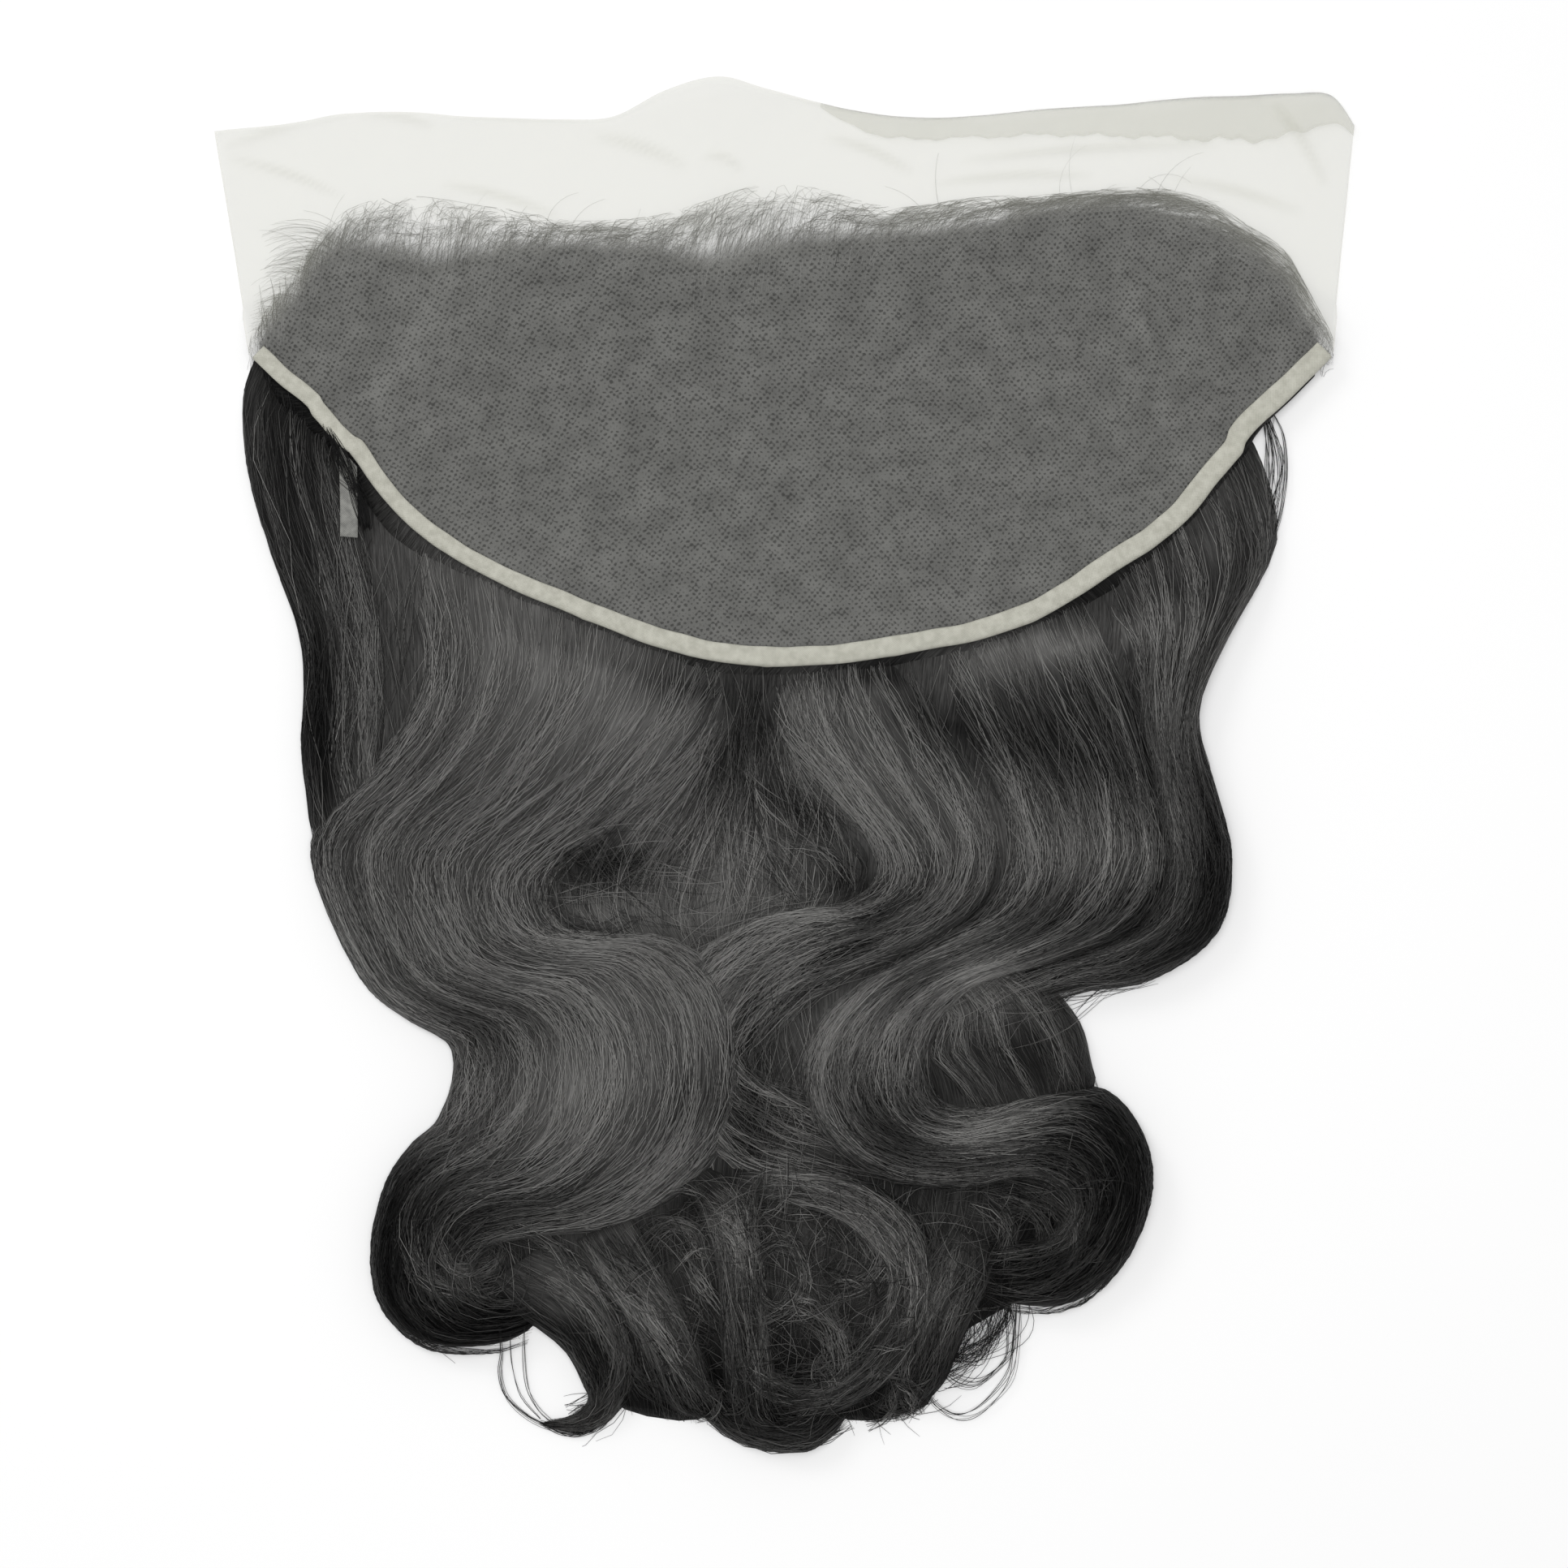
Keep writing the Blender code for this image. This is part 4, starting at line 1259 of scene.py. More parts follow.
def combed(tress, metres, seed, loose=1.0, lift=0.0, thin=1.0):
    """Groups of strands that follow a tress, of this many metres in all. Looser ones
    wander further from their locks."""
    chance = np.random.default_rng(seed)
    locks, sections = tress
    rows = smooth_rows(sections, 8)
    middle = (rows[:, 0:2] + rows[:, 2:4]) / 2
    step = np.linalg.norm(np.diff(middle, axis=0), axis=1)
    arc = np.concatenate([[0], np.cumsum(step)])
    run = np.diff(middle, axis=0)
    heading = np.unwrap(np.arctan2(run[:, 1], run[:, 0]))
    bends = np.concatenate([[0, 0], np.cumsum(np.abs(np.diff(heading)))])
    effort = arc + BEND_COST * bends
    width = np.linalg.norm(rows[:, 2:4] - rows[:, 0:2], axis=1)
    lock_count = max(3, round(width.mean() / LOCK_WIDTH))
    lock_place = (np.arange(lock_count) + chance.uniform(0.1, 0.9, lock_count)) / lock_count
    lock_place = 0.6 * lock_place + 0.4 * (0.5 - 0.5 * np.cos(math.pi * lock_place))
    lock_tone = chance.uniform(0.0, 1.0, lock_count)
    lock_high = chance.uniform(-0.2, 0.7, lock_count)
    fine_arc = np.linspace(0, arc[-1], 64)[None, :]
    lock_sway = waves(chance, lock_count, fine_arc, (150.0, 90.0, 55.0), 2.6 * loose)
    lock_rise = waves(chance, lock_count, fine_arc, (90.0, 60.0, 40.0), 0.8 * loose)
    groups = []
    for reach, share in STRAND_REACHES:
        length = reach * arc[-1]
        count = max(1, round(share * metres * 1000 / length))
        points = max(5, round(reach * effort[-1] / SEGMENT) + 1)
        start = chance.uniform(0, 1 - reach, count) if reach < 1 else chance.uniform(0, 0.03, count)
        end = start + reach * chance.uniform(0.88, 1.0, count)
        end = np.minimum(end, 1.0)
        travel = start[:, None] + (end - start)[:, None] * np.linspace(0, 1, points)
        along = np.interp(travel * effort[-1], effort, arc)
        lock = chance.integers(0, lock_count, count)
        flat_along = along.ravel()
        sway = np.empty((count, points))
        rise = np.empty((count, points))
        for k in range(lock_count):
            mine = lock == k
            sway[mine] = np.interp(along[mine], fine_arc[0], lock_sway[k])
            rise[mine] = np.interp(along[mine], fine_arc[0], lock_rise[k])
        here = [np.interp(flat_along, arc, rows[:, c]).reshape(count, points) for c in range(5)]
        a_x, a_y, b_x, b_y, top = here
        wide = np.hypot(b_x - a_x, b_y - a_y)
        aside = chance.normal(0, 0.42 * LOCK_WIDTH, (count, 1))
        stray = waves(chance, count, along, (60.0, 30.0), 2.4 * loose)
        drift = chance.normal(0, 0.16 * (1 - reach), (count, 1))
        stray = stray + drift * (along - along.mean(axis=1)[:, None])
        across = lock_place[lock][:, None] + (sway + aside + stray) / wide
        across = np.where(across < 0, -0.4 * across, across)
        across = np.where(across > 1, 1 - 0.4 * (across - 1), across)
        x = a_x + (b_x - a_x) * across
        y = a_y + (b_y - a_y) * across
        own_rise = waves(chance, count, along, (36.0, 20.0), 0.55 * loose)
        own_high = chance.uniform(-0.35, 0.55, (count, 1))
        z = top * tress_top(across, locks) - 0.3 + lift
        z = z + lock_high[lock][:, None] + rise + own_rise + own_high
        ends = np.minimum(np.linspace(0, 1, points), np.linspace(1, 0, points)) * length / 18.0
        ends = np.clip(ends, 0, 1)[None, :]
        z = z - 0.7 * (1 - ends)
        radius = thin * STRAND_RADIUS * chance.uniform(0.65, 1.3, (count, 1)) * (0.3 + 0.7 * ends)
        z = np.maximum(z, radius + 0.05)
        # Painted light: each strand takes the painted highlight and shade of its place, and painted
        # shade darkens it in the furrows between locks and towards the sides of its tress.
        ragged = chance.normal(0, 3.0, (2, count, 1))
        lit = painted_light(x + ragged[0], y + ragged[1]) * chance.uniform(0.6, 1.35, (count, 1))
        furrow_shade = 0.5 + 0.5 * np.cos(2 * math.pi * locks * across)
        turned = np.abs(2 * across - 1) ** 6
        own_tone = 0.42 * chance.uniform(0, 1, (count, 1)) ** 1.4
        tone = 0.34 * lock_tone[lock][:, None] + own_tone + 0.445
        tone = tone + waves(chance, count, along, (70.0, 30.0), 0.14) + lit
        tone = tone - 0.06 * furrow_shade - 0.2 * turned
        paths = np.stack([x, y, z], axis=-1)
        groups.append((paths, radius, np.clip(tone, 0, 1)))
    return groups


# The pieces that the strands are kept in: how many metres each tress gets, and how many
# of loose strands over it.
STRAND_PIECES = {
    "strands_left": (("left_sweep", 168.0, 12.0),),
    "strands_right": (("right_middle", 118.0, 11.0), ("right_under", 16.0, 2.0)),
    "strands_inner": (
        ("right_inner", 73.0, 8.0),
        ("centre_pocket", 22.0, 4.0),
        ("under_layer", 12.0, 0.0),
    ),
    "strands_sides": (("right_side", 68.0, 5.0), ("left_side", 28.0, 3.0)),
    "strands_tips": (
        ("bottom_fill_left", 5.0, 0.0),
        ("bottom_fill_right", 6.0, 0.0),
        ("left_curl", 12.0, 1.0),
        ("bottom_bowl", 7.0, 1.0),
        ("bottom_right", 12.0, 2.0),
        ("bottom_left", 15.0, 2.0),
        ("centre_left", 13.0, 2.0),
        ("centre_ring", 22.0, 3.0),
    ),
}

seed = 1
for piece_name, parts in STRAND_PIECES.items():
    groups = []
    for tress_name, metres, loose_metres in parts:
        groups += combed(TRESSES[tress_name], metres, seed)
        if loose_metres:
            groups += combed(TRESSES[tress_name], loose_metres, seed + 50, 1.6, 0.8, 0.7)
        seed += 1
    strands = strand_mesh(piece_name, groups, strand_material)
    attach(strands, "root")

# Curly ends and stray hair. Where the waves meet and at the tips the hair is messier:
# short bent strands lie across it at random, and fine ones stand off the outline.

MESSY_PLACES = (
    # x, y, half_x, half_y, direction, spread, length, least_bend, count, height
    (-8, -14, 22, 20, -70, 45, 30, 26, 130, 2.2),
    (-52, -32, 26, 13, -30, 45, 32, 24, 120, 1.8),
    (0, -52, 34, 14, 20, 25, 34, 40, 110, 1.4),
    (-2, -95, 9, 34, -95, 25, 36, 40, 130, 1.4),
    (2, -140, 44, 14, 0, 180, 26, 14, 150, 2.2),
    (-8, -165, 46, 22, 0, 180, 28, 12, 210, 2.4),
    (12, -190, 34, 10, 0, 180, 24, 12, 60, 2),
    (-93, -152, 20, 16, 0, 180, 28, 16, 70, 1.6),
    (80, -136, 20, 18, 0, 180, 28, 16, 70, 1.6),
    (50, -150, 18, 22, -60, 70, 26, 14, 80, 2),
    (78, -66, 30, 9, -160, 25, 30, 28, 90, 1.4),
    (-120, 40, 16, 26, -95, 25, 38, 50, 80, 1.4),
    (84, -4, 30, 16, -75, 35, 26, 30, 90, 1.2),
    (0, 20, 22, 10, -85, 30, 26, 36, 60, 1.4),
)

# Small locks at the tips and in the hollow under the parting, along their middles. Their tones at start,
# middle and end are painted light: painted highlights where a lock catches the light and painted shade
# where it dips.
SMALL_LOCKS = (
    # width, count, tone at start, middle and end, then x, y at each point
    (9, 70, (0.35, 0.85, 0.35),
     ((-30, -139), (-21, -138), (-14, -146), (-11.5, -155), (-12, -168))),
    (7, 45, (0.25, 0.50, 0.45),
     ((-46, -148), (-38, -140), (-29, -141), (-24, -149), (-21, -160))),
    (6, 36, (0.20, 0.75, 0.35),
     ((-33, -148), (-28, -156), (-23, -163), (-17, -170))),
    (7, 55, (0.35, 0.45, 0.55),
     ((-12, -154), (-5, -146), (3, -148), (5.5, -158), (1, -167), (-9, -171))),
    (4, 24, (0.30, 0.50, 0.60),
     ((-8, -156), (-8, -162), (-3, -166), (2, -164))),
    (9, 70, (0.40, 0.60, 0.30),
     ((-6, -127), (10, -131), (24, -137), (33, -146), (36, -156), (30, -166), (21, -171))),
    (7, 50, (0.35, 0.70, 0.40),
     ((4, -133), (16, -135), (25, -142), (28, -152), (22, -158), (14, -159))),
    (5, 30, (0.30, 0.45, 0.25),
     ((6, -138), (13, -141), (18, -147), (17, -154), (11, -157))),
    (9, 60, (0.40, 0.72, 0.25),
     ((4, -163), (12, -171), (16, -178), (16, -186), (11, -191))),
    (8, 70, (0.50, 0.42, 0.40),
     ((-12, -176), (-9, -186), (-1, -191.5), (9, -193), (19, -189), (28, -181), (35, -170), (38, -160))),
    (6, 40, (0.30, 0.12, 0.15),
     ((-22, -199), (-12, -206), (0, -208.5), (10, -206), (18, -200))),
    (6, 44, (0.75, 0.15, 0.45),
     ((-19, -168), (-17, -178), (-15, -187), (-12, -196), (-6, -203))),
    (5, 30, (0.65, 0.50, 0.30),
     ((-11, -182), (-5, -187), (3, -190), (12, -190))),
    (11, 90, (0.30, 0.78, 0.35),
     ((-64, -148), (-53, -157), (-44, -166), (-37, -176), (-30, -187), (-24, -198))),
    (7, 50, (0.25, 0.55, 0.30),
     ((-56, -146), (-46, -153), (-38, -162), (-30, -170), (-22, -176))),
    (9, 80, (0.75, 0.42, 0.08),
     ((-72, -154), (-62, -161), (-54, -171), (-50, -181), (-52, -191), (-58, -198.5), (-66, -202.5))),
    (7, 50, (0.60, 0.50, 0.20),
     ((54, -138), (47, -149), (42.5, -160), (40, -171), (38, -183), (36, -193))),
    (7, 45, (0.25, 0.42, 0.15),
     ((62, -148), (53, -158), (47.5, -167), (44.5, -177), (44, -187))),
    (5, 24, (0.25, 0.20, 0.10),
     ((64, -152), (58, -163), (54, -173), (51, -183))),
    (6, 36, (0.30, 0.15, 0.10),
     ((32, -160), (36, -169), (33, -179), (27, -188), (24, -196))),
    (5, 30, (0.12, 0.18, 0.12),
     ((23, -189), (26, -195), (32, -198), (39, -196.5), (44, -192))),
    (6, 36, (0.25, 0.12, 0.12),
     ((-49, -176), (-47, -185), (-42, -191), (-34, -196))),
    (5, 30, (0.25, 0.42, 0.20),
     ((-36, -180), (-28, -187), (-23.5, -194), (-20, -201))),
    (4, 24, (0.30, 0.50, 0.35),
     ((-6, -120), (-9, -130), (-10, -141), (-12, -152))),
    (6, 34, (0.20, 0.30, 0.20),
     ((38, -134), (44, -141), (44, -151), (40, -160))),
    (7, 50, (0.40, 0.45, 0.55),
     ((-73, -24), (-77.5, -36), (-75, -47), (-68, -53), (-58, -54))),
    (5, 30, (0.30, 0.30, 0.45),
     ((-70, -30), (-71, -40), (-67, -48), (-59, -50))),
    (10, 60, (0.15, 0.50, 0.50),
     ((-20, 4), (-27, -11), (-36, -25), (-47, -39))),
    (10, 70, (0.15, 0.60, 0.60),
     ((-17, 0), (-22, -14), (-27, -28), (-30, -43))),
    (10, 70, (0.15, 0.65, 0.60),
     ((-14, -2), (-15, -16), (-15, -30), (-12, -44))),
    (9, 60, (0.15, 0.55, 0.50),
     ((-10, -6), (-7, -20), (-1, -32), (7, -42))),
    (6, 40, (0.40, 0.50, 0.40),
     ((-2, -24), (8, -23), (16, -28), (21, -36))),
    (7, 50, (0.35, 0.40, 0.30),
     ((-62, -18), (-70, -29), (-72, -41), (-65, -49), (-54, -50), (-45, -44))),
    (0.8, 4, (0.80, 1.00, 0.70),
     ((-10, -5), (-5.5, -12), (0, -18), (8, -21.5))),
    (6, 34, (0.20, 0.50, 0.30),
     ((-2, -17), (6, -21), (11, -28), (17, -35))),
    (3, 16, (0.45, 0.25, 0.20),
     ((20, -22), (24.5, -29), (24, -37))),
    (5, 30, (0.15, 0.30, 0.45),
     ((-9, 24), (-12, 12), (-11, 0), (-6, -12))),
    (7, 60, (0.30, 0.40, 0.25),
     ((62, -127), (75, -130), (86, -137), (88, -148), (80, -157), (69, -159))),
    (5, 40, (0.30, 0.35, 0.25),
     ((66, -134), (75, -136), (80, -143), (77, -151), (68, -154))),
    (7, 50, (0.40, 0.35, 0.20),
     ((58, -132), (66, -138), (68, -147), (62, -156))),
    (8, 60, (0.20, 0.52, 0.35),
     ((-112, -126), (-117, -141), (-111, -156), (-98, -161), (-87, -156), (-86, -147))),
    (6, 50, (0.30, 0.58, 0.35),
     ((-103, -130), (-108, -143), (-102, -153), (-93, -154), (-88, -148), (-93, -141))),
    (7, 50, (0.40, 0.42, 0.35),
     ((-86, -138), (-76, -144), (-68, -150), (-62, -158))),
)

# Thin curls that stand open at the tips.
OPEN_CURLS = (
    # count, spread, then x, y, height at each point
    (7, 0.7, ((-88, -172, 6), (-87.5, -180, 3), (-87.9, -187, 2), (-85.8, -194, 1.6),
              (-79.5, -200, 1.4), (-72, -203.6, 1.4), (-64.5, -205, 1.6), (-58, -202.6, 2),
              (-54.5, -197.6, 3), (-52, -190, 5))),
    (16, 0.9, ((-76, -202, 1), (-70, -204.4, 1.4), (-64.5, -205, 1.6), (-58, -202.6, 2),
               (-54.5, -196.6, 3), (-53, -186, 5))),
    (3, 0.5, ((-80.5, -172, 5), (-81, -180, 2), (-80, -191, 1.5), (-76.5, -198, 1.2),
              (-72, -202, 1.2))),
    (2, 0.5, ((-85, -174, 5), (-84.5, -184, 2), (-82, -194, 1.5), (-76, -201, 1.2))),
    (6, 0.9, ((66, -158, 7), (71, -163, 4), (72.4, -168, 3), (72, -176, 2.4),
              (70.5, -187, 2), (65.5, -194, 1.8), (59, -199, 1.6), (53, -200, 1.6),
              (47.4, -197, 2.5), (43, -192, 4))),
    (7, 1, ((64, -160, 7), (68, -166, 4.5), (69.6, -173, 3), (69, -180.5, 2.4),
              (64.5, -186, 2), (59, -190, 2), (53, -189, 3), (48, -185, 4.5))),
    (9, 1.8, ((58, -160, 7), (62, -168, 4), (62, -176, 3), (57, -183, 3),
              (50, -186, 4))),
    (5, 1.2, ((70, -160, 6), (66, -170, 4), (60, -178, 3.5), (52, -183, 4))),
    (18, 2.6, ((66, -154, 7), (66, -164, 4), (63, -174, 3), (57, -182, 3),
               (49, -188, 4))),
    (16, 2.4, ((60, -154, 8), (60, -164, 5), (57, -174, 4), (51, -182, 4))),
    (5, 0.8, ((20, -197, 3), (27, -200.5, 2), (36, -200, 2), (44, -195.5, 3))),
    (5, 0.3, ((150, 111, 1.6), (153.4, 104, 1.8), (154.4, 93.3, 2), (153.2, 82, 2.2),
              (150.4, 72, 2.4), (145, 64, 2.4))),
    (24, 1.6, ((148.5, 109, 2), (150.8, 98, 2.2), (150.6, 88, 2.4), (148.6, 76, 2.4),
               (143, 66, 2.4))),
    (36, 1.5, ((-141, 106, 8.6), (-137.5, 98, 9.2), (-134.2, 91, 9), (-131, 83, 8.4),
               (-129, 74, 8))),
    (22, 2.8, ((62, -150, 8), (69, -160, 5), (67.5, -170, 3), (61, -178, 3),
               (53, -181, 4), (46, -180, 6))),
)

mass_faces = faces_of(hair_mass)


def heights_on(faces, x, y, *start_and_missed):
    """The heights over many points, each as height_on finds it."""
    flat = [height_on(faces, *spot, *start_and_missed) for spot in zip(x.ravel(), y.ravel())]
    return np.array(flat).reshape(x.shape)


def bent_strands(chance, place, points=7):
    """Short strands at random in one messy place, each bent one way."""
    middle_x, middle_y, half_x, half_y, direction, spread, length, least_bend, count, high = place
    around = chance.uniform(0, 2 * math.pi, (count, 1))
    out = np.sqrt(chance.uniform(0, 1, (count, 1)))
    angle = np.radians(direction + chance.uniform(-spread, spread, (count, 1)))
    bend = chance.choice((-1, 1), (count, 1)) / (least_bend * chance.uniform(1.0, 2.6, (count, 1)))
    long = length * chance.uniform(0.55, 1.35, (count, 1))
    travel = np.linspace(-0.5, 0.5, points)[None, :] * long
    heading = angle + bend * travel
    step = long / (points - 1)
    x = middle_x + half_x * out * np.cos(around) + np.cumsum(np.cos(heading) * step, axis=1)
    y = middle_y + half_y * out * np.sin(around) + np.cumsum(np.sin(heading) * step, axis=1)
    x -= 0.5 * long * np.cos(angle)
    y -= 0.5 * long * np.sin(angle)
    share = np.linspace(0, 1, points)[None, :]
    arch = np.sin(math.pi * share)
    z = heights_on(mass_faces, x, y) + 0.25 + high * arch * chance.uniform(0.2, 1.0, (count, 1))
    radius = 0.10 * chance.uniform(0.6, 1.3, (count, 1)) * (0.35 + 0.65 * arch)
    # Painted light: half the painted highlight and shade of the place is added to each strand's random
    # tone.
    tone = chance.uniform(0.2, 1.0, (count, 1)) + 0.5 * painted_light(x, y)
    return np.stack([x, y, z], axis=-1), radius, np.clip(tone, 0, 1)


def small_lock(chance, width, count, tones, table):
    """Strands side by side along one small lock, that fan out at its two ends."""
    path = smooth_rows(table, 2)
    along = np.linspace(0, 1, len(path))
    run = np.gradient(path, axis=0)
    run /= np.linalg.norm(run, axis=1)[:, None]
    side = np.stack([-run[:, 1], run[:, 0]], axis=1)
    aside = chance.uniform(-0.5, 0.5, (count, 1)) + chance.normal(0, 0.12, (count, 1))
    begin = chance.uniform(-0.2, 0.4, (count, 1))
    finish = chance.uniform(0.55, 1.15, (count, 1))
    share = np.clip(begin + (finish - begin) * np.linspace(0, 1, len(path))[None, :], 0, 1)
    spread = 1.25 * width * aside * (1.0 - 0.35 * np.sin(math.pi * share))
    length = np.linalg.norm(np.diff(path, axis=0), axis=1).sum()
    spread = spread + waves(chance, count, length * share, (30.0, 15.0), 1.8)
    x = np.interp(share, along, path[:, 0]) + spread * np.interp(share, along, side[:, 0])
    y = np.interp(share, along, path[:, 1]) + spread * np.interp(share, along, side[:, 1])
    arch = np.sin(math.pi * np.linspace(0, 1, len(path)))[None, :]
    dome = 1.1 * (1 - (2 * aside) ** 2) * arch
    z = heights_on(mass_faces, x, y) + 0.1 + dome + chance.uniform(0, 0.8, (count, 1)) * arch
    radius = 0.13 * chance.uniform(0.65, 1.25, (count, 1)) * (0.35 + 0.65 * arch)
    # Painted light: the tones paint the lock's highlight and shade along it.
    tone = 0.20 + 0.92 * np.interp(share, (0, 0.5, 1), tones) + chance.normal(0, 0.16, (count, 1))
    return np.stack([x, y, np.maximum(z, 0.2)], axis=-1), radius, np.clip(tone, 0, 1)


def filler_locks(chance, count=64):
    """Small curled locks at random among the tips."""
    groups = []
    for _ in range(count):
        middle = chance.uniform((-44, -196), (42, -130))
        heading = chance.uniform(0, 2 * math.pi)
        turn = chance.choice((-1, 1)) * chance.uniform(0.9, 2.6)
        length = chance.uniform(14, 26)
        angle = heading + turn * np.linspace(-0.5, 0.5, 5)
        x = middle[0] + np.cumsum(np.cos(angle)) * length / 5 - 0.5 * length * math.cos(heading)
        y = middle[1] + np.cumsum(np.sin(angle)) * length / 5 - 0.5 * length * math.sin(heading)
        # Painted light: each lock gets a lighter middle as a painted highlight and darker ends as
        # painted shade.
        tones = chance.uniform((0.02, 0.20, 0.02), (0.40, 0.85, 0.40))
        table = np.stack([x, y], axis=1)
        groups.append(small_lock(chance, chance.uniform(2.5, 5.0), 11, tones, table))
    return groups


def open_curls(chance):
    """Strands along the open curls, each a little off its line."""
    groups = []
    for count, spread, table in OPEN_CURLS:
        path = smooth_rows(table, 4)
        share = np.linspace(0, 1, len(path))[None, :]
        aside = chance.normal(0, spread, (count, 2))
        twist = chance.normal(0, spread, (count, 2))
        paths = np.repeat(path[None], count, axis=0)
        for axis in (0, 1):
            wave = aside[:, axis : axis + 1] + twist[:, axis : axis + 1] * np.sin(5 * share)
            paths[..., axis] += wave * (0.35 + 0.65 * np.sin(math.pi * share))
        paths[..., 2] += chance.uniform(-0.5, 0.8, (count, 1))
        paths[..., 2] = np.maximum(paths[..., 2], 0.25)
        radius = 0.09 * chance.uniform(0.7, 1.3, (count, 1)) * np.ones_like(share)
        groups.append((paths, radius, np.full(radius.shape, 0.12)))
    return groups


chance = np.random.default_rng(77)
lock_groups = filler_locks(chance) + [small_lock(chance, *lock) for lock in SMALL_LOCKS]
small_locks = strand_mesh("strands_locks", lock_groups, strand_material)
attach(small_locks, "root")

messy_groups = [bent_strands(chance, place) for place in MESSY_PLACES] + open_curls(chance)
messy_strands = strand_mesh("strands_messy", messy_groups, strand_material)
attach(messy_strands, "root")

# Hair tied into the net. Each hair is knotted round a thread of the net from below and
# combed back under it, and the first rows stand up and sweep to the right as baby hair.

net_faces = faces_of(net)


def baby_hairs(bundles=1300, in_bundle=4, points=5):
    """Fine strands at the hairline, in small bundles that rise, lean over to the right
    and end along the outline of the band."""
    chance = np.random.default_rng(11)
    rows = smooth_rows(HAIRLINE, 4)
    step = np.hypot(np.diff(rows[:, 0]), np.diff(rows[:, 1:].mean(axis=1)))
    arc = np.concatenate([[0], np.cumsum(step)])
    count = bundles * in_bundle

    def each(values, jitter):
        return (np.repeat(values, in_bundle) + chance.normal(0, jitter, count))[:, None]

    start = chance.uniform(4, arc[-1] - 6, bundles)
    top = 0.9 + 0.10 * np.sin(start * 0.17) + 0.08 * np.sin(start * 0.43 + 1.0)
    low = chance.uniform(-0.6, 0.9, bundles)
    high = low + (top - low) * chance.uniform(0.15, 1.0, bundles)
    near_end = np.clip(np.minimum(start - 2, arc[-1] - start) / 30.0, 0.2, 1)
    run = np.interp(start, (0, 60, 220, 300, arc[-1]), (2, 6, 8, 14, 16))
    run = run * chance.uniform(0.3, 1.7, bundles) * near_end
    arched = chance.uniform(0.3, 0.75, bundles)
    share = np.linspace(0, 1, points)[None, :]
    place = each(start, 2.0) + each(run, 2.2) * share**1.3
    low = each(low, 0.14)
    rise = np.sin(math.pi * each(arched, 0.04) * share)
    depth = np.minimum(low + (each(high, 0.15) - low) * rise, 1.08)
    x = np.interp(place, arc, rows[:, 0])
    dense = np.interp(place, arc, rows[:, 1])
    wisps = np.interp(place, arc, rows[:, 2])
    y = dense + depth * (wisps - dense)
    return net_strands(chance, x, y, 0.046, 1.0)


def left_fan(count=180, points=7):
    """Long pale hairs that sweep to the left from the hairline's left end."""
    chance = np.random.default_rng(14)
    start = chance.uniform(0, 1, (count, 1))
    share = np.linspace(0, 1, points)[None, :]
    long = (8.0 + 20.0 * start) * chance.uniform(0.5, 1.1, (count, 1))
    heading = np.radians(138.0 + chance.normal(0, 10, (count, 1)) + 66.0 * share)
    x = -158.0 + 24.0 * start + np.cumsum(np.cos(heading), axis=1) * long / points
    y = 134.0 + 27.0 * start + np.cumsum(np.sin(heading), axis=1) * long / points
    return net_strands(chance, x, y, 0.04, 0.9)


def net_strands(chance, x, y, radius, lightest):
    """Strands close under the net, thinner to their ends."""
    low = heights_on(net_faces, x, y, -50.0, 1.0)
    count, points = x.shape
    z = np.maximum(low - chance.uniform(0.15, 0.7, (count, 1)), 0.12)
    thinner = 1.0 - 0.5 * np.linspace(0, 1, points)[None, :]
    radii = radius * chance.uniform(0.6, 1.3, (count, 1)) * thinner
    tone = chance.uniform(0.0, lightest, (count, 1)) * np.ones_like(thinner)
    return np.stack([x, y, z], axis=-1), radii, tone


def long_wisps(count=45, points=12):
    """A few long fine hairs that stray far over the bare net, most at the left."""
    chance = np.random.default_rng(12)
    table = np.array(HAIRLINE)
    x0 = -150 + 300 * chance.uniform(0, 1, count) ** 1.7
    y0 = np.interp(x0, table[:, 0], table[:, 1])
    first = np.radians(chance.uniform(60, 130, count))[:, None]
    turn = np.radians(chance.choice((-1, 1), count, p=(0.75, 0.25)) * chance.uniform(40, 130, count))
    long = chance.uniform(12, 28, count)[:, None]
    share = np.linspace(0, 1, points)[None, :]
    heading = first + turn[:, None] * share
    x = x0[:, None] + np.cumsum(np.cos(heading), axis=1) * long / points
    y = y0[:, None] + np.cumsum(np.sin(heading), axis=1) * long / points
    return net_strands(chance, x, y, 0.04, 0.9)


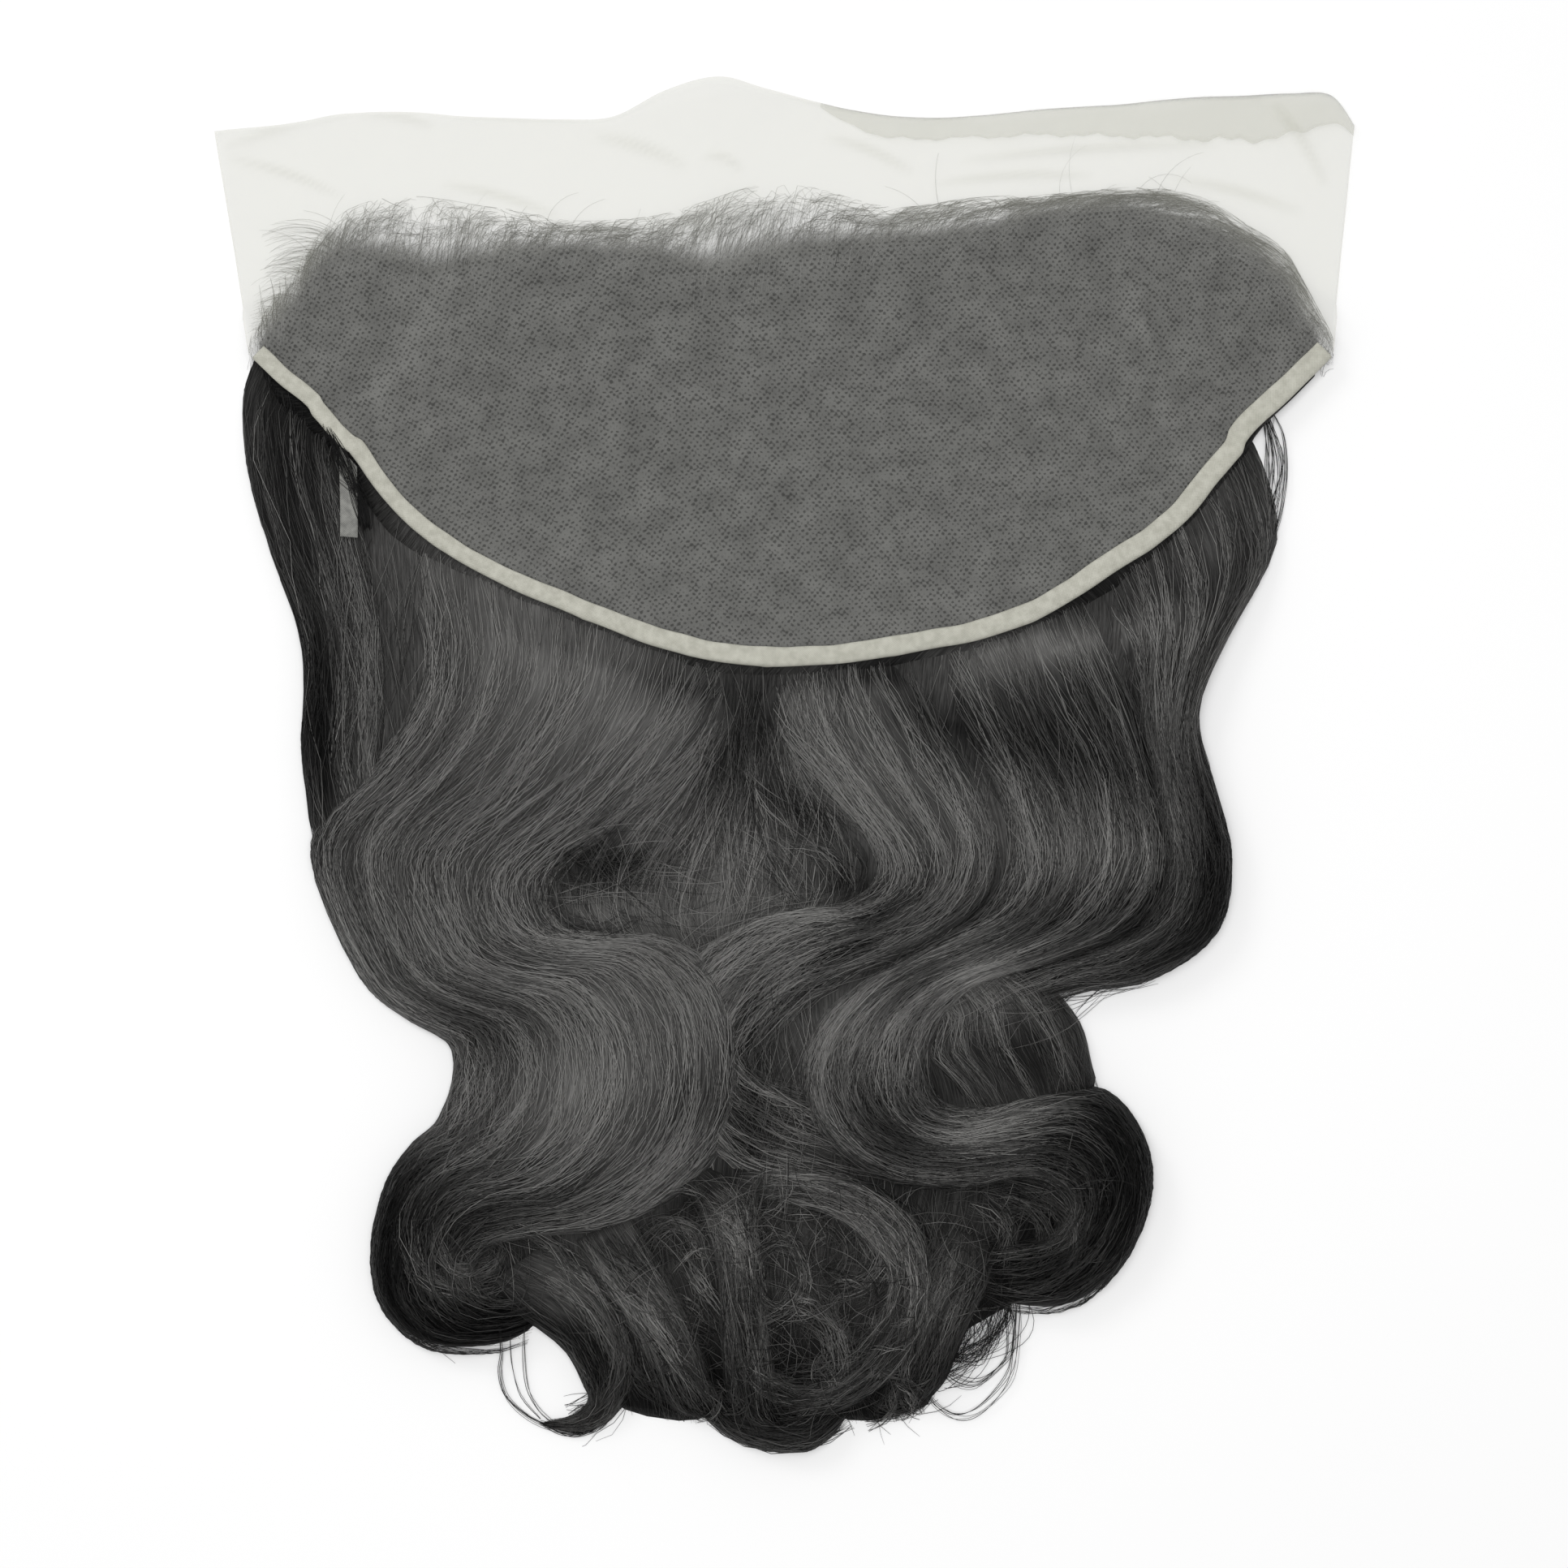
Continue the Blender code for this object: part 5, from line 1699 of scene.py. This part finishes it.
def tied_strands(count=600, points=7):
    """Strands under the net that run back from the hairline."""
    chance = np.random.default_rng(13)
    columns = net_columns(6)
    place = chance.uniform(0.03, 0.93, (count, 1))
    across = np.linspace(0, 1, len(columns["length"]))
    hair_end = np.interp(place, across, columns["hair_end"])
    start = hair_end - 12.0 * chance.uniform(-0.3, 1, (count, 1))
    share = np.linspace(0, 1, points)[None, :]
    distance = np.maximum(start - chance.uniform(20, 46, (count, 1)) * share, -6.0)
    sway = waves(chance, count, 40.0 * share * np.ones((count, 1)), (40.0, 20.0), 0.008)
    under = on_columns(columns, np.clip(place + sway, 0.02, 0.98), distance)
    drop = 0.4 + 0.4 * chance.uniform(0, 1, (count, 1)) + 2.2 * np.clip(1 - distance / 8.0, 0, 1)
    under[..., 2] = np.maximum(under[..., 2] - drop, 0.2)
    radius = 0.12 * chance.uniform(0.7, 1.3, (count, 1)) * np.sin(math.pi * (0.1 + 0.8 * share))
    tone = chance.uniform(0.0, 0.35, (count, 1)) * np.ones_like(share)
    return under, radius, tone


tied_hair = strand_mesh(
    "strands_tied", [tied_strands(), baby_hairs(), left_fan(), long_wisps()], strand_material
)
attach(tied_hair, "root")

# Floor, light and camera. The piece lies on a white table under soft light from a window
# on the left, and is seen from straight above.

bpy.ops.mesh.primitive_plane_add(size=12.0, location=(0, 0, 0))
floor = bpy.context.active_object
floor.name = "floor"
floor_material, _ = new_material("white_table", 0.6, (0.97, 0.97, 0.97))
floor.data.materials.append(floor_material)

scene = bpy.context.scene
scene.view_settings.view_transform = "Standard"
world = bpy.data.worlds.new("studio")
world.use_nodes = True
world.node_tree.nodes["Background"].inputs["Color"].default_value = (1.0, 1.0, 1.0, 1.0)
world.node_tree.nodes["Background"].inputs["Strength"].default_value = 0.40
scene.world = world


def softbox(name, place, size, power):
    """A square area light that looks at the middle of the hairpiece."""
    light = bpy.data.lights.new(name, "AREA")
    light.shape = "SQUARE"
    light.size = size
    light.energy = power
    obj = bpy.data.objects.new(name, light)
    obj.location = place
    obj.rotation_euler = (-Vector(place)).to_track_quat("-Z", "Y").to_euler()
    scene.collection.objects.link(obj)
    return obj


softbox("overhead", (-0.1, 0.1, 2.4), 1.6, 37.0)
softbox("window", (-1.7, 1.5, 1.9), 0.9, 10.0)

CAMERA_HEIGHT = 1.2
FRAME_WIDTH = 0.483
FOCUS_HEIGHT = 0.006
SENSOR = 36.0
camera_data = bpy.data.cameras.new("camera")
camera_data.sensor_width = SENSOR
camera_data.lens = SENSOR * (CAMERA_HEIGHT - FOCUS_HEIGHT) / FRAME_WIDTH
camera = bpy.data.objects.new("camera", camera_data)
camera.location = (-0.0002, -0.0056, CAMERA_HEIGHT)
scene.collection.objects.link(camera)
scene.camera = camera
